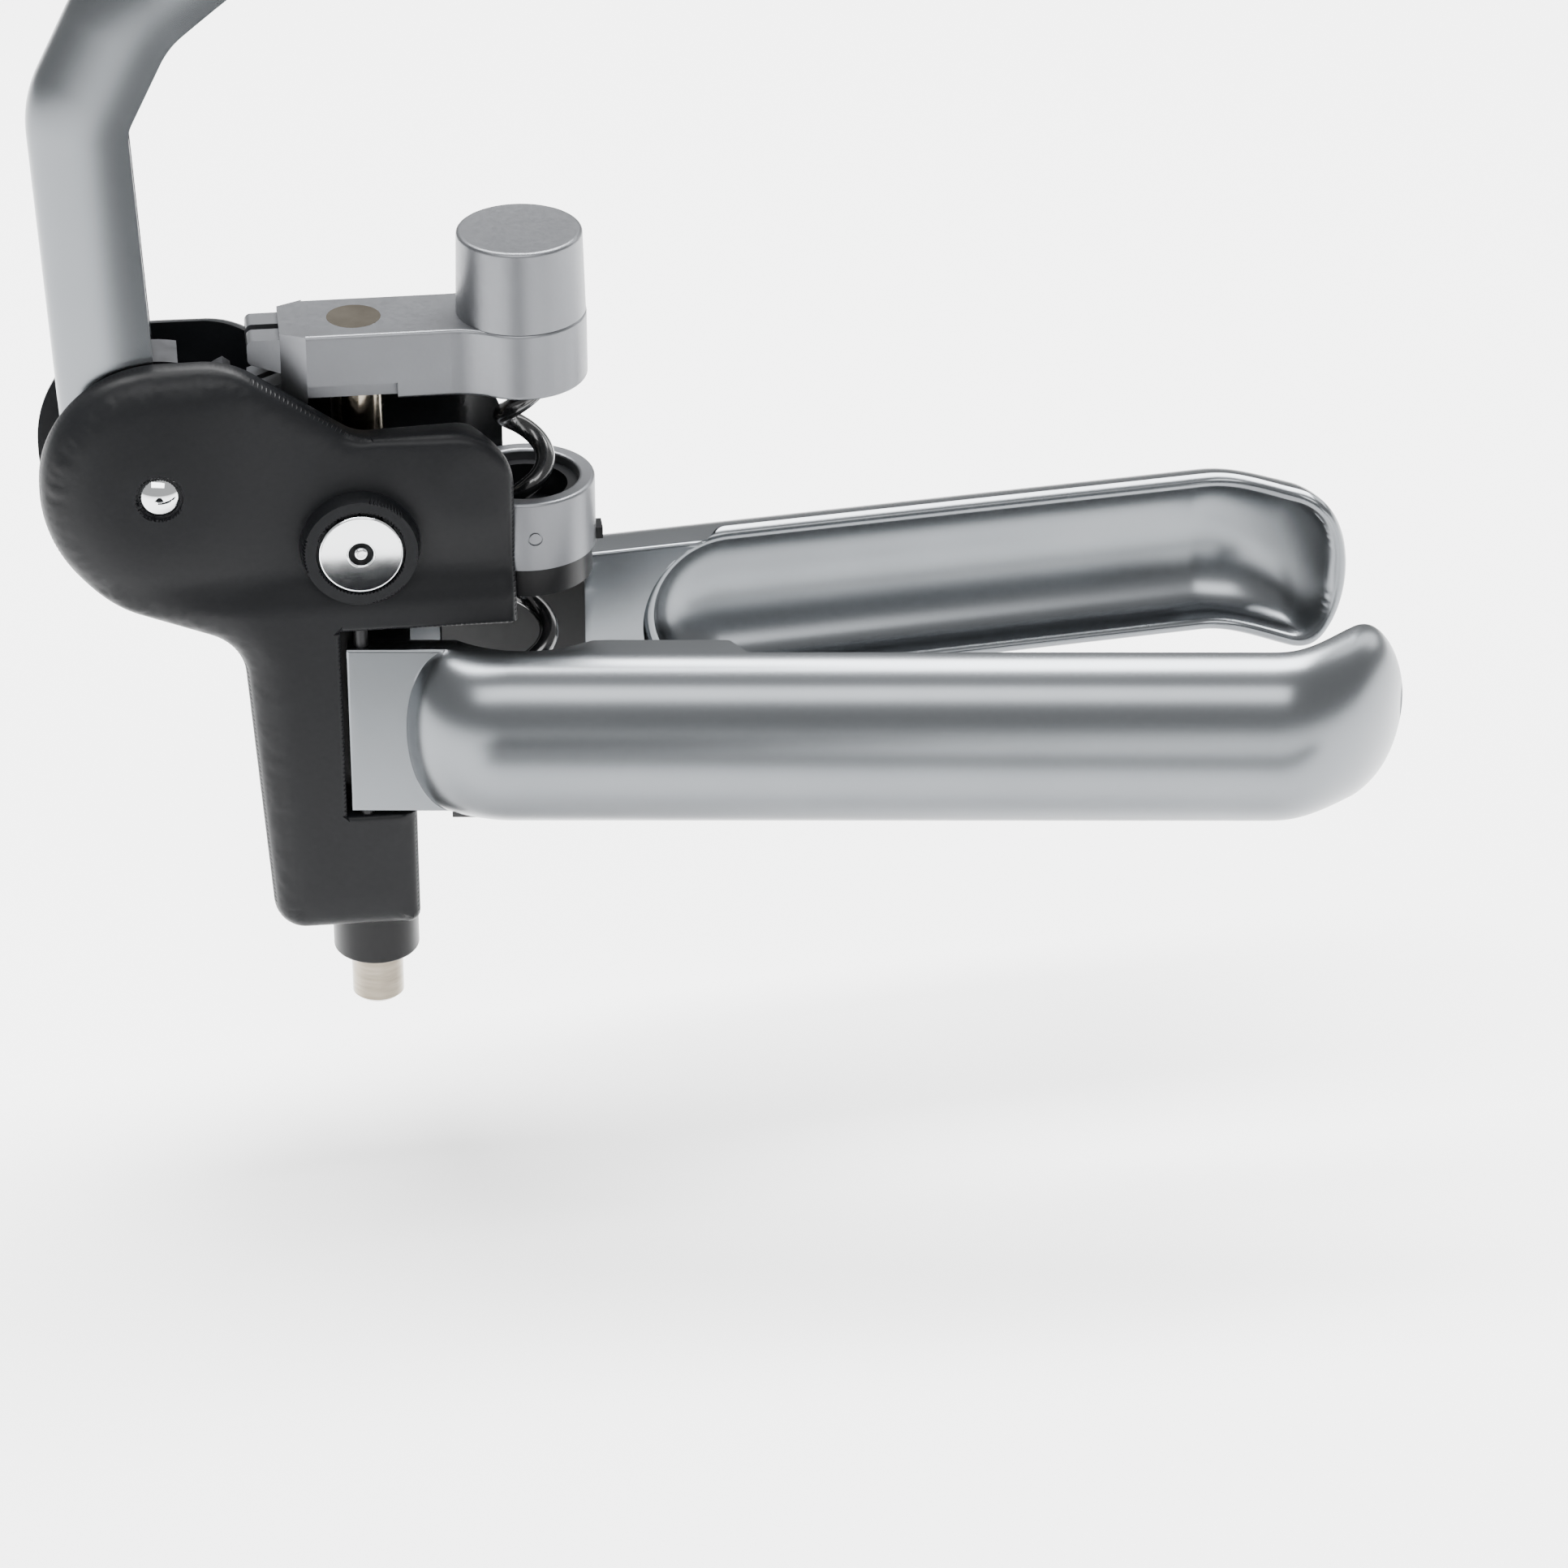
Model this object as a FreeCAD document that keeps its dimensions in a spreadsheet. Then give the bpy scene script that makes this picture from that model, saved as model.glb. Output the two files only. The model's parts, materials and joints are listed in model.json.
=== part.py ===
import FreeCAD, Part
import math
import os
import re
import Sketcher
from FreeCAD import Placement, Rotation, Vector

# Hand-held lever corkscrew, drawn as it grips a bottle's neck with its worm part of the way down.
# Millimetres. The origin is the middle of the clamped neck, on the worm's axis. +Z points up the
# bottle, +X points from the worm towards the free ends of the grips, and -Y is the near side.

SIZES = {
    # Bottle neck and the rubber jaws round it
    "neck_radius": 14.5,
    "jaw_height": 22.0,
    "jaw_lip_height": 6.0,
    "jaw_relief": 0.7,
    "jaw_width": 21.0,
    "jaw_seat_depth": 1.5,
    "jaw_reach": 2.8,
    # Covers: the outline seen from the near side
    "cover_back": 67.4,
    "cover_top": 55.9,
    "lobe_radius": 17.4,
    "heel_height": 23.6,
    "heel_radius": 20.5,
    "throat_back": 40.6,
    "throat_height": 13.1,
    "throat_radius": 7.5,
    "foot_back": 37.6,
    "foot_depth": 33.1,
    "foot_radius": 4.5,
    "post_front": 17.1,
    "lip_gap": 0.9,
    "roof_gap": 2.8,
    "notch_back": 27.1,
    "nose_back": 2.3,
    "nose_height": 45.0,
    "nose_radius": 8.0,
    "saddle_back": 23.8,
    "saddle_height": 44.2,
    "saddle_radius": 6.0,
    "brow_back": 40.6,
    "brow_radius": 12.0,
    "corner_radius": 2.4,
    "cover_inner": 6.6,
    "cover_thickness": 5.6,
    "cover_rounding": 4.2,
    "nose_gap": 0.45,
    # Lever pivot with its pin and domes
    "pivot_back": 51.0,
    "pivot_height": 38.0,
    "pin_radius": 2.5,
    "dome_radius": 2.85,
    "dome_rise": 1.2,
    "dome_recess_radius": 3.2,
    "dome_recess_depth": 0.5,
    # Chrome discs on their raised round bosses
    "disc_back": 23.8,
    "disc_height": 28.4,
    "disc_radius": 5.85,
    "disc_thickness": 0.9,
    "disc_hole_radius": 1.7,
    "disc_margin": 0.3,
    "boss_radius": 8.3,
    "boss_rise": 0.8,
    "disc_recess_depth": 0.6,
    "rivet_radius": 1.0,
    "rivet_length": 3.0,
    # Screws put in from the far side
    "screw_radius": 1.2,
    "screw_head_radius": 2.3,
    "screw_head_depth": 1.5,
    "screw_reach": 9.4,
    "floor_screw_back": 42.8,
    "floor_screw_drop": 19.6,
    "post_screw_back": 32.4,
    "post_screw_depth": 24.0,
    "bracket_screw_back": 13.6,
    "bracket_screw_height": 26.5,
    # Frame between the covers
    "frame_inset": 0.8,
    "floor_back": 49.0,
    "floor_height": 17.4,
    "frame_top": 31.4,
    "floor_top": 33.2,
    "channel_back": 38.5,
    "channel_bottom": 15.2,
    "gear_room": 0.7,
    # Guide rod and its bushings
    "rod_back": 23.1,
    "rod_radius": 3.75,
    "rod_length": 108.5,
    "rod_chamfer": 0.5,
    "rod_clearance": 0.5,
    "bushing_fit": 0.04,
    "bushing_wall": 1.4,
    "bushing_length": 8.0,
    "lower_bushing_top": 6.0,
    "foot_boss_radius": 6.2,
    "foot_boss_length": 8.9,
    # Carriage: the arm that carries the worm and slides on the rod
    "carriage_height": 48.6,
    "arm_height": 9.9,
    "arm_half_width": 6.2,
    "arm_back": 30.0,
    "arm_end_radius": 9.1,
    "arm_neck_radius": 10.0,
    "arm_edge": 0.5,
    "arm_rebate_front": 17.6,
    "arm_rebate_height": 2.4,
    "arm_rebate_depth": 1.6,
    # Rack on the back of the arm
    "gear_module": 2.0,
    "gear_teeth": 15.0,
    "pressure_angle": 20.0,
    "dedendum_share": 1.25,
    "rack_half_width": 4.5,
    "rack_back_clearance": 0.7,
    "rack_drop": 47.6,
    "rack_tooth_rise": 6.3,
    "rack_slot_half_width": 0.8,
    "rack_backlash": 0.15,
    "ear_drop": 0.9,
    "ear_rounding": 0.9,
    "dowel_radius": 1.0,
    "dowel_length": 5.4,
    "dowel_spread": 3.0,
    # Cap, spindle and worm
    "cap_top_radius": 8.7,
    "cap_bottom_radius": 9.0,
    "cap_height": 12.0,
    "cap_edge": 0.6,
    "cap_wall": 1.6,
    "spindle_radius": 4.4,
    "spindle_fit": 0.08,
    "spindle_flange_radius": 6.2,
    "spindle_flange_height": 2.0,
    "washer_thickness": 0.5,
    "washer_gap": 0.06,
    "worm_radius": 2.95,
    "worm_wire_radius": 1.35,
    "worm_pitch": 13.6,
    "worm_front_height": 45.8,
    "worm_bottom": 6.0,
    "worm_tip_radius": 0.3,
    "worm_seat": 0.4,
    # Collar ring that holds the nut
    "ring_top": 33.0,
    "ring_height": 10.3,
    "ring_radius": 9.85,
    "ring_inner_radius": 7.6,
    "ring_edge": 0.5,
    "mark_radius": 1.05,
    "mark_line": 0.25,
    "mark_height": 27.6,
    "mark_side": 0.6,
    "nut_skirt_height": 4.3,
    "nut_skirt_radius": 9.3,
    "nut_lip_drop": 1.5,
    "nut_cup_radius": 6.0,
    "nut_floor_height": 8.6,
    "nut_clearance": 0.35,
    "bracket_half_width": 4.8,
    "bracket_bottom": 21.5,
    "bracket_height": 10.3,
    "key_reach": 0.9,
    "key_half_width": 1.5,
    "key_height": 1.7,
    "key_bottom": 22.9,
    # Lever
    "lever_half_width": 6.2,
    "lever_depth": 13.7,
    "lever_wall": 1.8,
    "lever_start_height": 40.0,
    "lever_start_back": 50.1,
    "lever_shank_length": 50.0,
    "lever_shank_angle": 92.8,
    "lever_shank_bend": 5.0,
    "lever_neck_length": 13.3,
    "lever_neck_angle": 63.4,
    "lever_neck_bend": 12.0,
    "lever_handle_length": 118.0,
    "lever_handle_angle": 39.5,
    "lever_handle_half_width": 10.0,
    "lever_handle_depth": 14.0,
    "lever_swell_length": 45.0,
    "lever_end_length": 12.0,
    "lever_end_share": 0.6,
    "cheek_radius": 12.3,
    "gear_half_width": 3.6,
    "gear_hub_radius": 8.4,
    "gear_stop_start": 78.0,
    "gear_stop_end": 100.0,
    "pin_fit": 0.05,
    "gear_rivet_radius": 1.0,
    "gear_rivet_ring": 5.6,
    "gear_rivet_high_angle": 150.0,
    "gear_rivet_low_angle": 270.0,
    # Grips, each turned about a pin in its root
    "grip_pin_back": 24.2,
    "grip_pin_side": 10.6,
    "grip_pin_radius": 1.0,
    "grip_pin_hold": 3.5,
    "grip_yaw": 6.8,
    "grip_half_height": 13.0,
    "plate_half_thickness": 1.7,
    "plate_tail": 2.1,
    "plate_end": 42.5,
    "rim_offset": 1.2,
    "rim_side": 2.3,
    "bulge_start": 6.2,
    "bulge_start_length": 14.0,
    "bulge_start_rounding": 6.2,
    "bulge_depth": 9.8,
    "grip_length": 146.8,
    "grip_wall": 2.3,
    "tip_length": 19.6,
    "tip_rounding": 7.6,
    "tip_bend": 10.0,
    "tip_bend_share": 0.83,
    "tip_bend_power": 1.3,
    "tip_power": 0.7,
    # One run past a face, used by all cuts
    "cut_overrun": 1.0,
}

doc = FreeCAD.newDocument("LeverCorkscrew")
sheet = doc.addObject("Spreadsheet::Sheet", "Sizes")
for row, (alias, value) in enumerate(SIZES.items(), start=1):
    sheet.set(f"A{row}", alias)
    sheet.set(f"B{row}", str(value))
    sheet.setAlias(f"B{row}", alias)
doc.recompute()

NODES = []
NEAR = -1
FAR = 1
SIDE_NAMES = {NEAR: "near", FAR: "far"}

# Sizes that follow from the driving ones
PITCH_RADIUS = "(gear_module * gear_teeth / 2)"
TOOTH_PITCH = "(gear_module * pi)"
RACK_PITCH_X = f"(-pivot_back + {PITCH_RADIUS})"
RACK_TIP_X = f"({RACK_PITCH_X} - gear_module)"
RACK_ROOT_X = f"({RACK_PITCH_X} + dedendum_share * gear_module)"
GEAR_TIP_RADIUS = f"({PITCH_RADIUS} + gear_module)"
COVER_OUTER = "(cover_inner + cover_thickness)"
NOTCH_TOP = "(grip_half_height + roof_gap)"
NOTCH_BOTTOM = "(-grip_half_height - lip_gap)"
HINGE_FOOT = f"({NOTCH_BOTTOM} - grip_pin_hold)"
HINGE_LENGTH = f"({NOTCH_TOP} + grip_pin_hold - {HINGE_FOOT})"
ARM_TOP = "(carriage_height + arm_height)"
RACK_BOTTOM = "(carriage_height - rack_drop)"
RACK_TOOTH = "(carriage_height + rack_tooth_rise)"
BUSHING_OUTER = "(rod_radius + bushing_fit + bushing_wall)"
ROD_BORE = "(rod_radius + rod_clearance)"
FLANGE_BOTTOM = f"({ARM_TOP} + washer_thickness + washer_gap)"


def link(text):
    """Turn a formula in size names into one that reads the sheet."""
    return re.sub(r"\b[a-z]+(_[a-z]+)+\b", r"Sizes.\g<0>", text)


def number(text):
    """The value of a formula in size names."""
    return float(sheet.evalExpression(link(text)))


def plane_of(body, role):
    return next(plane for plane in body.Origin.OriginFeatures if plane.Role == role)


def new_body(label):
    body = doc.addObject("PartDesign::Body", f"Body_{label}")
    body.Label = label
    NODES.append(body)
    return body


def new_sketch(body, name, role, offset="0"):
    sketch = body.newObject("Sketcher::SketchObject", f"{body.Label}_{name}_sketch")
    sketch.AttachmentSupport = [(plane_of(body, role), "")]
    sketch.MapMode = "FlatFace"
    if offset != "0":
        sketch.setExpression(".AttachmentOffset.Base.z", link(offset))
    return sketch


def fix_point(sketch, geometry, end, horizontal, vertical):
    """Hold a point of a sketch at two formulas from its origin."""
    for kind, text in (("DistanceX", horizontal), ("DistanceY", vertical)):
        index = sketch.addConstraint(Sketcher.Constraint(kind, -1, 1, geometry, end, number(text)))
        if text != "0":
            sketch.setExpression(f"Constraints[{index}]", link(text))


def draw_circle(sketch, horizontal, vertical, radius):
    centre = Vector(number(horizontal), number(vertical), 0)
    circle = sketch.addGeometry(Part.Circle(centre, Vector(0, 0, 1), number(radius)), False)
    fix_point(sketch, circle, 3, horizontal, vertical)
    index = sketch.addConstraint(Sketcher.Constraint("Radius", circle, number(radius)))
    sketch.setExpression(f"Constraints[{index}]", link(radius))


def draw_outline(sketch, corners):
    """A closed outline of straight lines, where a corner may name a rounding radius."""
    count = len(corners)
    places = [Vector(number(corner[0]), number(corner[1]), 0) for corner in corners]
    arrivals = list(places)
    departures = list(places)
    middles = [None] * count
    for index, corner in enumerate(corners):
        if len(corner) == 2:
            continue
        place = places[index]
        before = (places[index - 1] - place).normalize()
        after = (places[(index + 1) % count] - place).normalize()
        half = before.getAngle(after) / 2
        radius = number(corner[2])
        arrivals[index] = place + before * (radius / math.tan(half))
        departures[index] = place + after * (radius / math.tan(half))
        inward = (before + after).normalize()
        middles[index] = place + inward * (radius / math.sin(half) - radius)
    lines = []
    for index in range(count):
        segment = Part.LineSegment(departures[index], arrivals[(index + 1) % count])
        lines.append(sketch.addGeometry(segment, False))
    for index, corner in enumerate(corners):
        before = lines[index - 1]
        after = lines[index]
        if middles[index] is None:
            sketch.addConstraint(Sketcher.Constraint("Coincident", before, 2, after, 1))
            fix_point(sketch, after, 1, corner[0], corner[1])
            continue
        arc_shape = Part.Arc(arrivals[index], middles[index], departures[index])
        arc = sketch.addGeometry(arc_shape, False)
        starts_here = sketch.getPoint(arc, 1).isEqual(arrivals[index], 1e-6)
        first, last = (1, 2) if starts_here else (2, 1)
        sketch.addConstraint(Sketcher.Constraint("Tangent", before, 2, arc, first))
        sketch.addConstraint(Sketcher.Constraint("Tangent", after, 1, arc, last))
        point = sketch.addGeometry(Part.Point(places[index]), True)
        fix_point(sketch, point, 1, corner[0], corner[1])
        sketch.addConstraint(Sketcher.Constraint("PointOnObject", point, 1, before))
        sketch.addConstraint(Sketcher.Constraint("PointOnObject", point, 1, after))
        held = sketch.addConstraint(Sketcher.Constraint("Radius", arc, number(corner[2])))
        sketch.setExpression(f"Constraints[{held}]", link(corner[2]))


def add_pad(body, name, role, drawing, length, offset="0", backwards=False, symmetric=False):
    """Grow a drawing, given as a list of corners or as (x, y, radius) in a tuple."""
    sketch = new_sketch(body, name, role, offset)
    if isinstance(drawing, tuple):
        draw_circle(sketch, *drawing)
    else:
        draw_outline(sketch, drawing)
    pad = body.newObject("PartDesign::Pad", f"{body.Label}_{name}")
    pad.Profile = sketch
    pad.setExpression("Length", link(length))
    pad.Reversed = backwards
    pad.SideType = "Symmetric" if symmetric else "One side"
    doc.recompute()
    return pad


def add_pocket(body, name, role, drawings, length, offset="0", backwards=False, symmetric=False):
    """Cut drawings into a body, and stop if nothing was cut."""
    before = body.Shape.Volume
    sketch = new_sketch(body, name, role, offset)
    for drawing in drawings:
        if isinstance(drawing, tuple):
            draw_circle(sketch, *drawing)
        else:
            draw_outline(sketch, drawing)
    pocket = body.newObject("PartDesign::Pocket", f"{body.Label}_{name}")
    pocket.Profile = sketch
    pocket.setExpression("Length", link(length))
    pocket.Reversed = backwards
    pocket.SideType = "Symmetric" if symmetric else "One side"
    doc.recompute()
    if body.Shape.Volume >= before:
        raise RuntimeError(f"{pocket.Name} cuts nothing")
    return pocket


def round_edges(body, name, radius, wanted, kind="Fillet"):
    """Round or chamfer the edges of a body that a test accepts."""
    base = body.Tip
    names = [f"Edge{index}" for index, edge in enumerate(base.Shape.Edges, start=1) if wanted(edge)]
    feature = body.newObject(f"PartDesign::{kind}", f"{body.Label}_{name}")
    feature.Base = (base, names)
    feature.setExpression("Radius" if kind == "Fillet" else "Size", link(radius))
    doc.recompute()
    return feature


def on_level(edge, axis, level):
    """Whether an edge lies in the plane where one coordinate has the given value."""
    box = edge.BoundBox
    low, high = getattr(box, axis + "Min"), getattr(box, axis + "Max")
    return abs(low - level) < 1e-4 and abs(high - level) < 1e-4


FACINGS = {"up": Rotation(), "near": Rotation(Vector(1, 0, 0), 90), "far": Rotation(Vector(1, 0, 0), -90)}


def add_turned(label, corners, across, height, side="0", facing="up"):
    """A turned piece: a half outline of (radius, length) spun about the piece's own axis."""
    body = new_body(label)
    sketch = new_sketch(body, "turned", "XZ_Plane")
    draw_outline(sketch, corners)
    turned = body.newObject("PartDesign::Revolution", f"{label}_turned")
    turned.Profile = sketch
    turned.ReferenceAxis = (sketch, ["V_Axis"])
    turned.Angle = 360
    body.Placement = Placement(Vector(), FACINGS[facing])
    body.setExpression(".Placement.Base.x", link(across))
    body.setExpression(".Placement.Base.y", link(side))
    body.setExpression(".Placement.Base.z", link(height))
    doc.recompute()
    return body


def add_computed(label, shape, placement=None):
    """A piece whose curved shape is worked out here."""
    feature = doc.addObject("Part::Feature", f"Shape_{label}")
    feature.Label = label
    feature.Shape = shape
    if placement is not None:
        feature.Placement = placement
    NODES.append(feature)
    return feature


def block(low, high):
    """A box between two corners."""
    return Part.makeBox(high.x - low.x, high.y - low.y, high.z - low.z, low)


# Covers

COVER_OUTLINE = [
    ("-cover_back", "cover_top", "lobe_radius"),
    ("-cover_back", "heel_height", "heel_radius"),
    ("-throat_back", "throat_height", "throat_radius"),
    ("-foot_back", "-foot_depth", "foot_radius"),
    ("-post_front", "-foot_depth", "corner_radius"),
    ("-post_front", NOTCH_BOTTOM),
    ("-notch_back", NOTCH_BOTTOM),
    ("-notch_back", NOTCH_TOP),
    ("-nose_back", NOTCH_TOP),
    ("-nose_back", "nose_height", "nose_radius"),
    ("-saddle_back", "saddle_height", "saddle_radius"),
    ("-brow_back", "cover_top", "brow_radius"),
]
SCREW_PLACES = [
    ("-floor_screw_back", "pivot_height - floor_screw_drop"),
    ("-post_screw_back", "-post_screw_depth"),
    ("-bracket_screw_back", "bracket_screw_height"),
]


def make_cover(side):
    body = new_body(f"{SIDE_NAMES[side]}_cover")
    sign = "-" if side == FAR else ""
    outward = side == FAR
    add_pad(body, "wall", "XZ_Plane", COVER_OUTLINE, "cover_thickness", f"{sign}cover_inner", outward)
    outer = side * number(COVER_OUTER)
    notch_edges = (number(NOTCH_BOTTOM), number(NOTCH_TOP))

    def rim(edge):
        if not on_level(edge, "Y", outer):
            return False
        if on_level(edge, "X", -number("notch_back")):
            return False
        return not any(on_level(edge, "Z", level) for level in notch_edges)

    round_edges(body, "rim", "cover_rounding", rim)
    # The nose is hollowed round the worm's axis, so that the ring and the arm's round end fit in
    nose = ("0", "0", "ring_radius + nose_gap")
    depth = f"nose_height - {NOTCH_TOP} + 2 * cut_overrun"
    add_pocket(body, "nose", "XY_Plane", [nose], depth, "nose_height + cut_overrun")
    boss = ("-disc_back", "disc_height", "boss_radius")
    add_pad(body, "boss", "XZ_Plane", boss, "boss_rise", f"{sign}{COVER_OUTER}", outward)
    recess = ("-disc_back", "disc_height", "disc_radius + disc_margin")
    face = f"{sign}({COVER_OUTER} + boss_rise)"
    add_pocket(body, "disc_recess", "XZ_Plane", [recess], "disc_recess_depth", face, outward)
    rivet = ("-disc_back", "disc_height", "rivet_radius")
    add_pocket(body, "rivet_hole", "XZ_Plane", [rivet], "rivet_length + boss_rise", face, outward)
    dome = ("-pivot_back", "pivot_height", "dome_recess_radius")
    surface = f"{sign}{COVER_OUTER}"
    add_pocket(body, "dome_recess", "XZ_Plane", [dome], "dome_recess_depth", surface, outward)
    pin = ("-pivot_back", "pivot_height", "pin_radius")
    through = "cover_thickness + 2 * cut_overrun"
    beyond = f"{sign}({COVER_OUTER} + cut_overrun)"
    add_pocket(body, "pin_hole", "XZ_Plane", [pin], through, beyond, outward)
    holes = [place + ("screw_radius",) for place in SCREW_PLACES]
    if side == FAR:
        heads = [place + ("screw_head_radius",) for place in SCREW_PLACES]
        head_depth = "screw_head_depth + cut_overrun"
        add_pocket(body, "screw_heads", "XZ_Plane", heads, head_depth, beyond, outward)
        add_pocket(body, "screw_holes", "XZ_Plane", holes, through, beyond, outward)
    else:
        add_pocket(body, "screw_holes", "XZ_Plane", holes, "screw_reach - cover_inner", "screw_reach")
    hinge = ("-grip_pin_back", f"{side} * grip_pin_side", "grip_pin_radius")
    add_pocket(body, "hinge_hole", "XY_Plane", [hinge], HINGE_LENGTH, f"{NOTCH_TOP} + grip_pin_hold")
    return body


near_cover = make_cover(NEAR)
far_cover = make_cover(FAR)

# Frame between the covers: a post round the rod and a floor under the gear

post = new_body("inner_post")
POST_OUTLINE = [
    ("-arm_back + rack_back_clearance", "frame_top"),
    ("-arm_back + rack_back_clearance", "-channel_bottom"),
    ("-foot_back + frame_inset", "-channel_bottom"),
    ("-foot_back + frame_inset", "-foot_depth", "foot_radius"),
    ("-post_front", "-foot_depth"),
    ("-post_front", "frame_top"),
]
add_pad(post, "core", "XZ_Plane", POST_OUTLINE, "2 * cover_inner", symmetric=True)
across = "2 * (cover_inner + cut_overrun)"
bore = ("-rod_back", "0", ROD_BORE)
seat = ("-rod_back", "0", BUSHING_OUTER)
above = "frame_top + cut_overrun"
add_pocket(post, "rod_bore", "XY_Plane", [bore], "frame_top + foot_depth + 2 * cut_overrun", above)
add_pocket(post, "upper_seat", "XY_Plane", [seat], "bushing_length + cut_overrun", above)
lower = "foot_depth - lower_bushing_top + cut_overrun"
add_pocket(post, "lower_seat", "XY_Plane", [seat], lower, "-lower_bushing_top")
post_screw = SCREW_PLACES[1] + ("screw_radius",)
add_pocket(post, "screw_hole", "XZ_Plane", [post_screw], across, symmetric=True)

gear_floor = new_body("gear_floor")
FLOOR_OUTLINE = [
    ("-floor_back", "floor_height"),
    ("-throat_back + frame_inset", "throat_height + frame_inset"),
    ("-channel_back", "throat_height + frame_inset"),
    ("-channel_back", "floor_top"),
    ("-floor_back", "floor_top"),
]
add_pad(gear_floor, "core", "XZ_Plane", FLOOR_OUTLINE, "2 * cover_inner", symmetric=True)
gear_room = ("-pivot_back", "pivot_height", f"{GEAR_TIP_RADIUS} + gear_room")
add_pocket(gear_floor, "gear_room", "XZ_Plane", [gear_room], across, symmetric=True)
floor_screw = SCREW_PLACES[0] + ("screw_radius",)
add_pocket(gear_floor, "screw_hole", "XZ_Plane", [floor_screw], across, symmetric=True)

# Guide rod, its bushings and the boss under the post

BUSHING = [
    ("rod_radius + bushing_fit", "0"),
    (BUSHING_OUTER, "0"),
    (BUSHING_OUTER, "bushing_length"),
    ("rod_radius + bushing_fit", "bushing_length"),
]
add_turned("upper_bushing", BUSHING, "-rod_back", "frame_top - bushing_length")
add_turned("lower_bushing", BUSHING, "-rod_back", "-lower_bushing_top - bushing_length")
FOOT_BOSS = [
    (ROD_BORE, "-foot_boss_length"),
    ("foot_boss_radius", "-foot_boss_length", "rod_chamfer"),
    ("foot_boss_radius", "0"),
    (BUSHING_OUTER, "0"),
    (BUSHING_OUTER, "foot_depth - lower_bushing_top - bushing_length"),
    (ROD_BORE, "foot_depth - lower_bushing_top - bushing_length"),
]
add_turned("post_boss", FOOT_BOSS, "-rod_back", "-foot_depth")
GUIDE_ROD = [
    ("0", "-rod_length"),
    ("rod_radius - rod_chamfer", "-rod_length"),
    ("rod_radius", "-rod_length + rod_chamfer"),
    ("rod_radius", "0"),
    ("0", "0"),
]
add_turned("guide_rod", GUIDE_ROD, "-rod_back", ARM_TOP)

# Carriage arm

arm = new_body("carriage_arm")
ARM_PLAN = [
    ("-arm_back", "-arm_half_width"),
    ("0", "-arm_half_width"),
    ("0", "arm_half_width"),
    ("-arm_back", "arm_half_width"),
]
add_pad(arm, "beam", "XY_Plane", ARM_PLAN, "arm_height", "carriage_height")
add_pad(arm, "end", "XY_Plane", ("0", "0", "arm_end_radius"), "arm_height", "carriage_height")
inner_corner = math.sqrt(number("arm_end_radius") ** 2 - number("arm_half_width") ** 2)


def arm_neck(edge):
    return on_level(edge, "X", -inner_corner) and edge.BoundBox.ZLength > number("arm_height") / 2


round_edges(arm, "neck", "arm_neck_radius", arm_neck)


def arm_rim(edge):
    level = number(ARM_TOP)
    flat = on_level(edge, "Z", level) or on_level(edge, "Z", number("carriage_height"))
    return flat and not on_level(edge, "X", -number("arm_back"))


round_edges(arm, "rim", "arm_edge", arm_rim)
rebate_top = "carriage_height + arm_rebate_height"
rebate_cut = "arm_rebate_height + cut_overrun"
for side in (NEAR, FAR):
    inside = f"{side} * (arm_half_width - arm_rebate_depth)"
    outside = f"{side} * (arm_half_width + cut_overrun)"
    plan = [
        ("-arm_back - cut_overrun", inside),
        ("-arm_rebate_front", inside),
        ("-arm_rebate_front", outside),
        ("-arm_back - cut_overrun", outside),
    ]
    add_pocket(arm, f"{SIDE_NAMES[side]}_rebate", "XY_Plane", [plan], rebate_cut, rebate_top)
top = f"{ARM_TOP} + cut_overrun"
through = "arm_height + 2 * cut_overrun"
add_pocket(arm, "rod_hole", "XY_Plane", [("-rod_back", "0", "rod_radius")], through, top)
spindle_bore = ("0", "0", "spindle_radius + spindle_fit")
add_pocket(arm, "spindle_bore", "XY_Plane", [spindle_bore], through, top)
DOWEL_HEIGHT = "(carriage_height + arm_height / 2)"
dowels = [("-dowel_spread", DOWEL_HEIGHT, "dowel_radius"), ("dowel_spread", DOWEL_HEIGHT, "dowel_radius")]
half_dowel = "dowel_length / 2"
add_pocket(arm, "dowel_holes", "YZ_Plane", dowels, half_dowel, f"-arm_back + {half_dowel}")

# Rack with its double top tooth

SLOPE = "tan(pressure_angle)"
ROOT_HALF = f"({TOOTH_PITCH} / 4 + dedendum_share * gear_module * {SLOPE} - rack_backlash / 2)"
TIP_HALF = f"({TOOTH_PITCH} / 4 - gear_module * {SLOPE} - rack_backlash / 2)"
rack_travel = number(f"{RACK_TOOTH} - {RACK_BOTTOM}")
tooth_count = int((rack_travel - number(ROOT_HALF)) / number(TOOTH_PITCH)) + 1
rack_outline = [
    ("-arm_back", RACK_BOTTOM),
    ("-arm_back", ARM_TOP),
    (RACK_ROOT_X, ARM_TOP),
    (RACK_ROOT_X, f"{ARM_TOP} - ear_drop"),
    (RACK_TIP_X, f"{ARM_TOP} - ear_drop", "ear_rounding"),
    (RACK_TIP_X, f"{RACK_TOOTH} - {TIP_HALF}", "ear_rounding"),
    (RACK_ROOT_X, f"{RACK_TOOTH} - {ROOT_HALF}"),
]
for tooth in range(1, tooth_count):
    centre = f"{RACK_TOOTH} - {tooth} * {TOOTH_PITCH}"
    rack_outline += [
        (RACK_ROOT_X, f"{centre} + {ROOT_HALF}"),
        (RACK_TIP_X, f"{centre} + {TIP_HALF}"),
        (RACK_TIP_X, f"{centre} - {TIP_HALF}"),
        (RACK_ROOT_X, f"{centre} - {ROOT_HALF}"),
    ]
rack_outline.append((RACK_ROOT_X, RACK_BOTTOM))
rack = new_body("rack")
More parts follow.
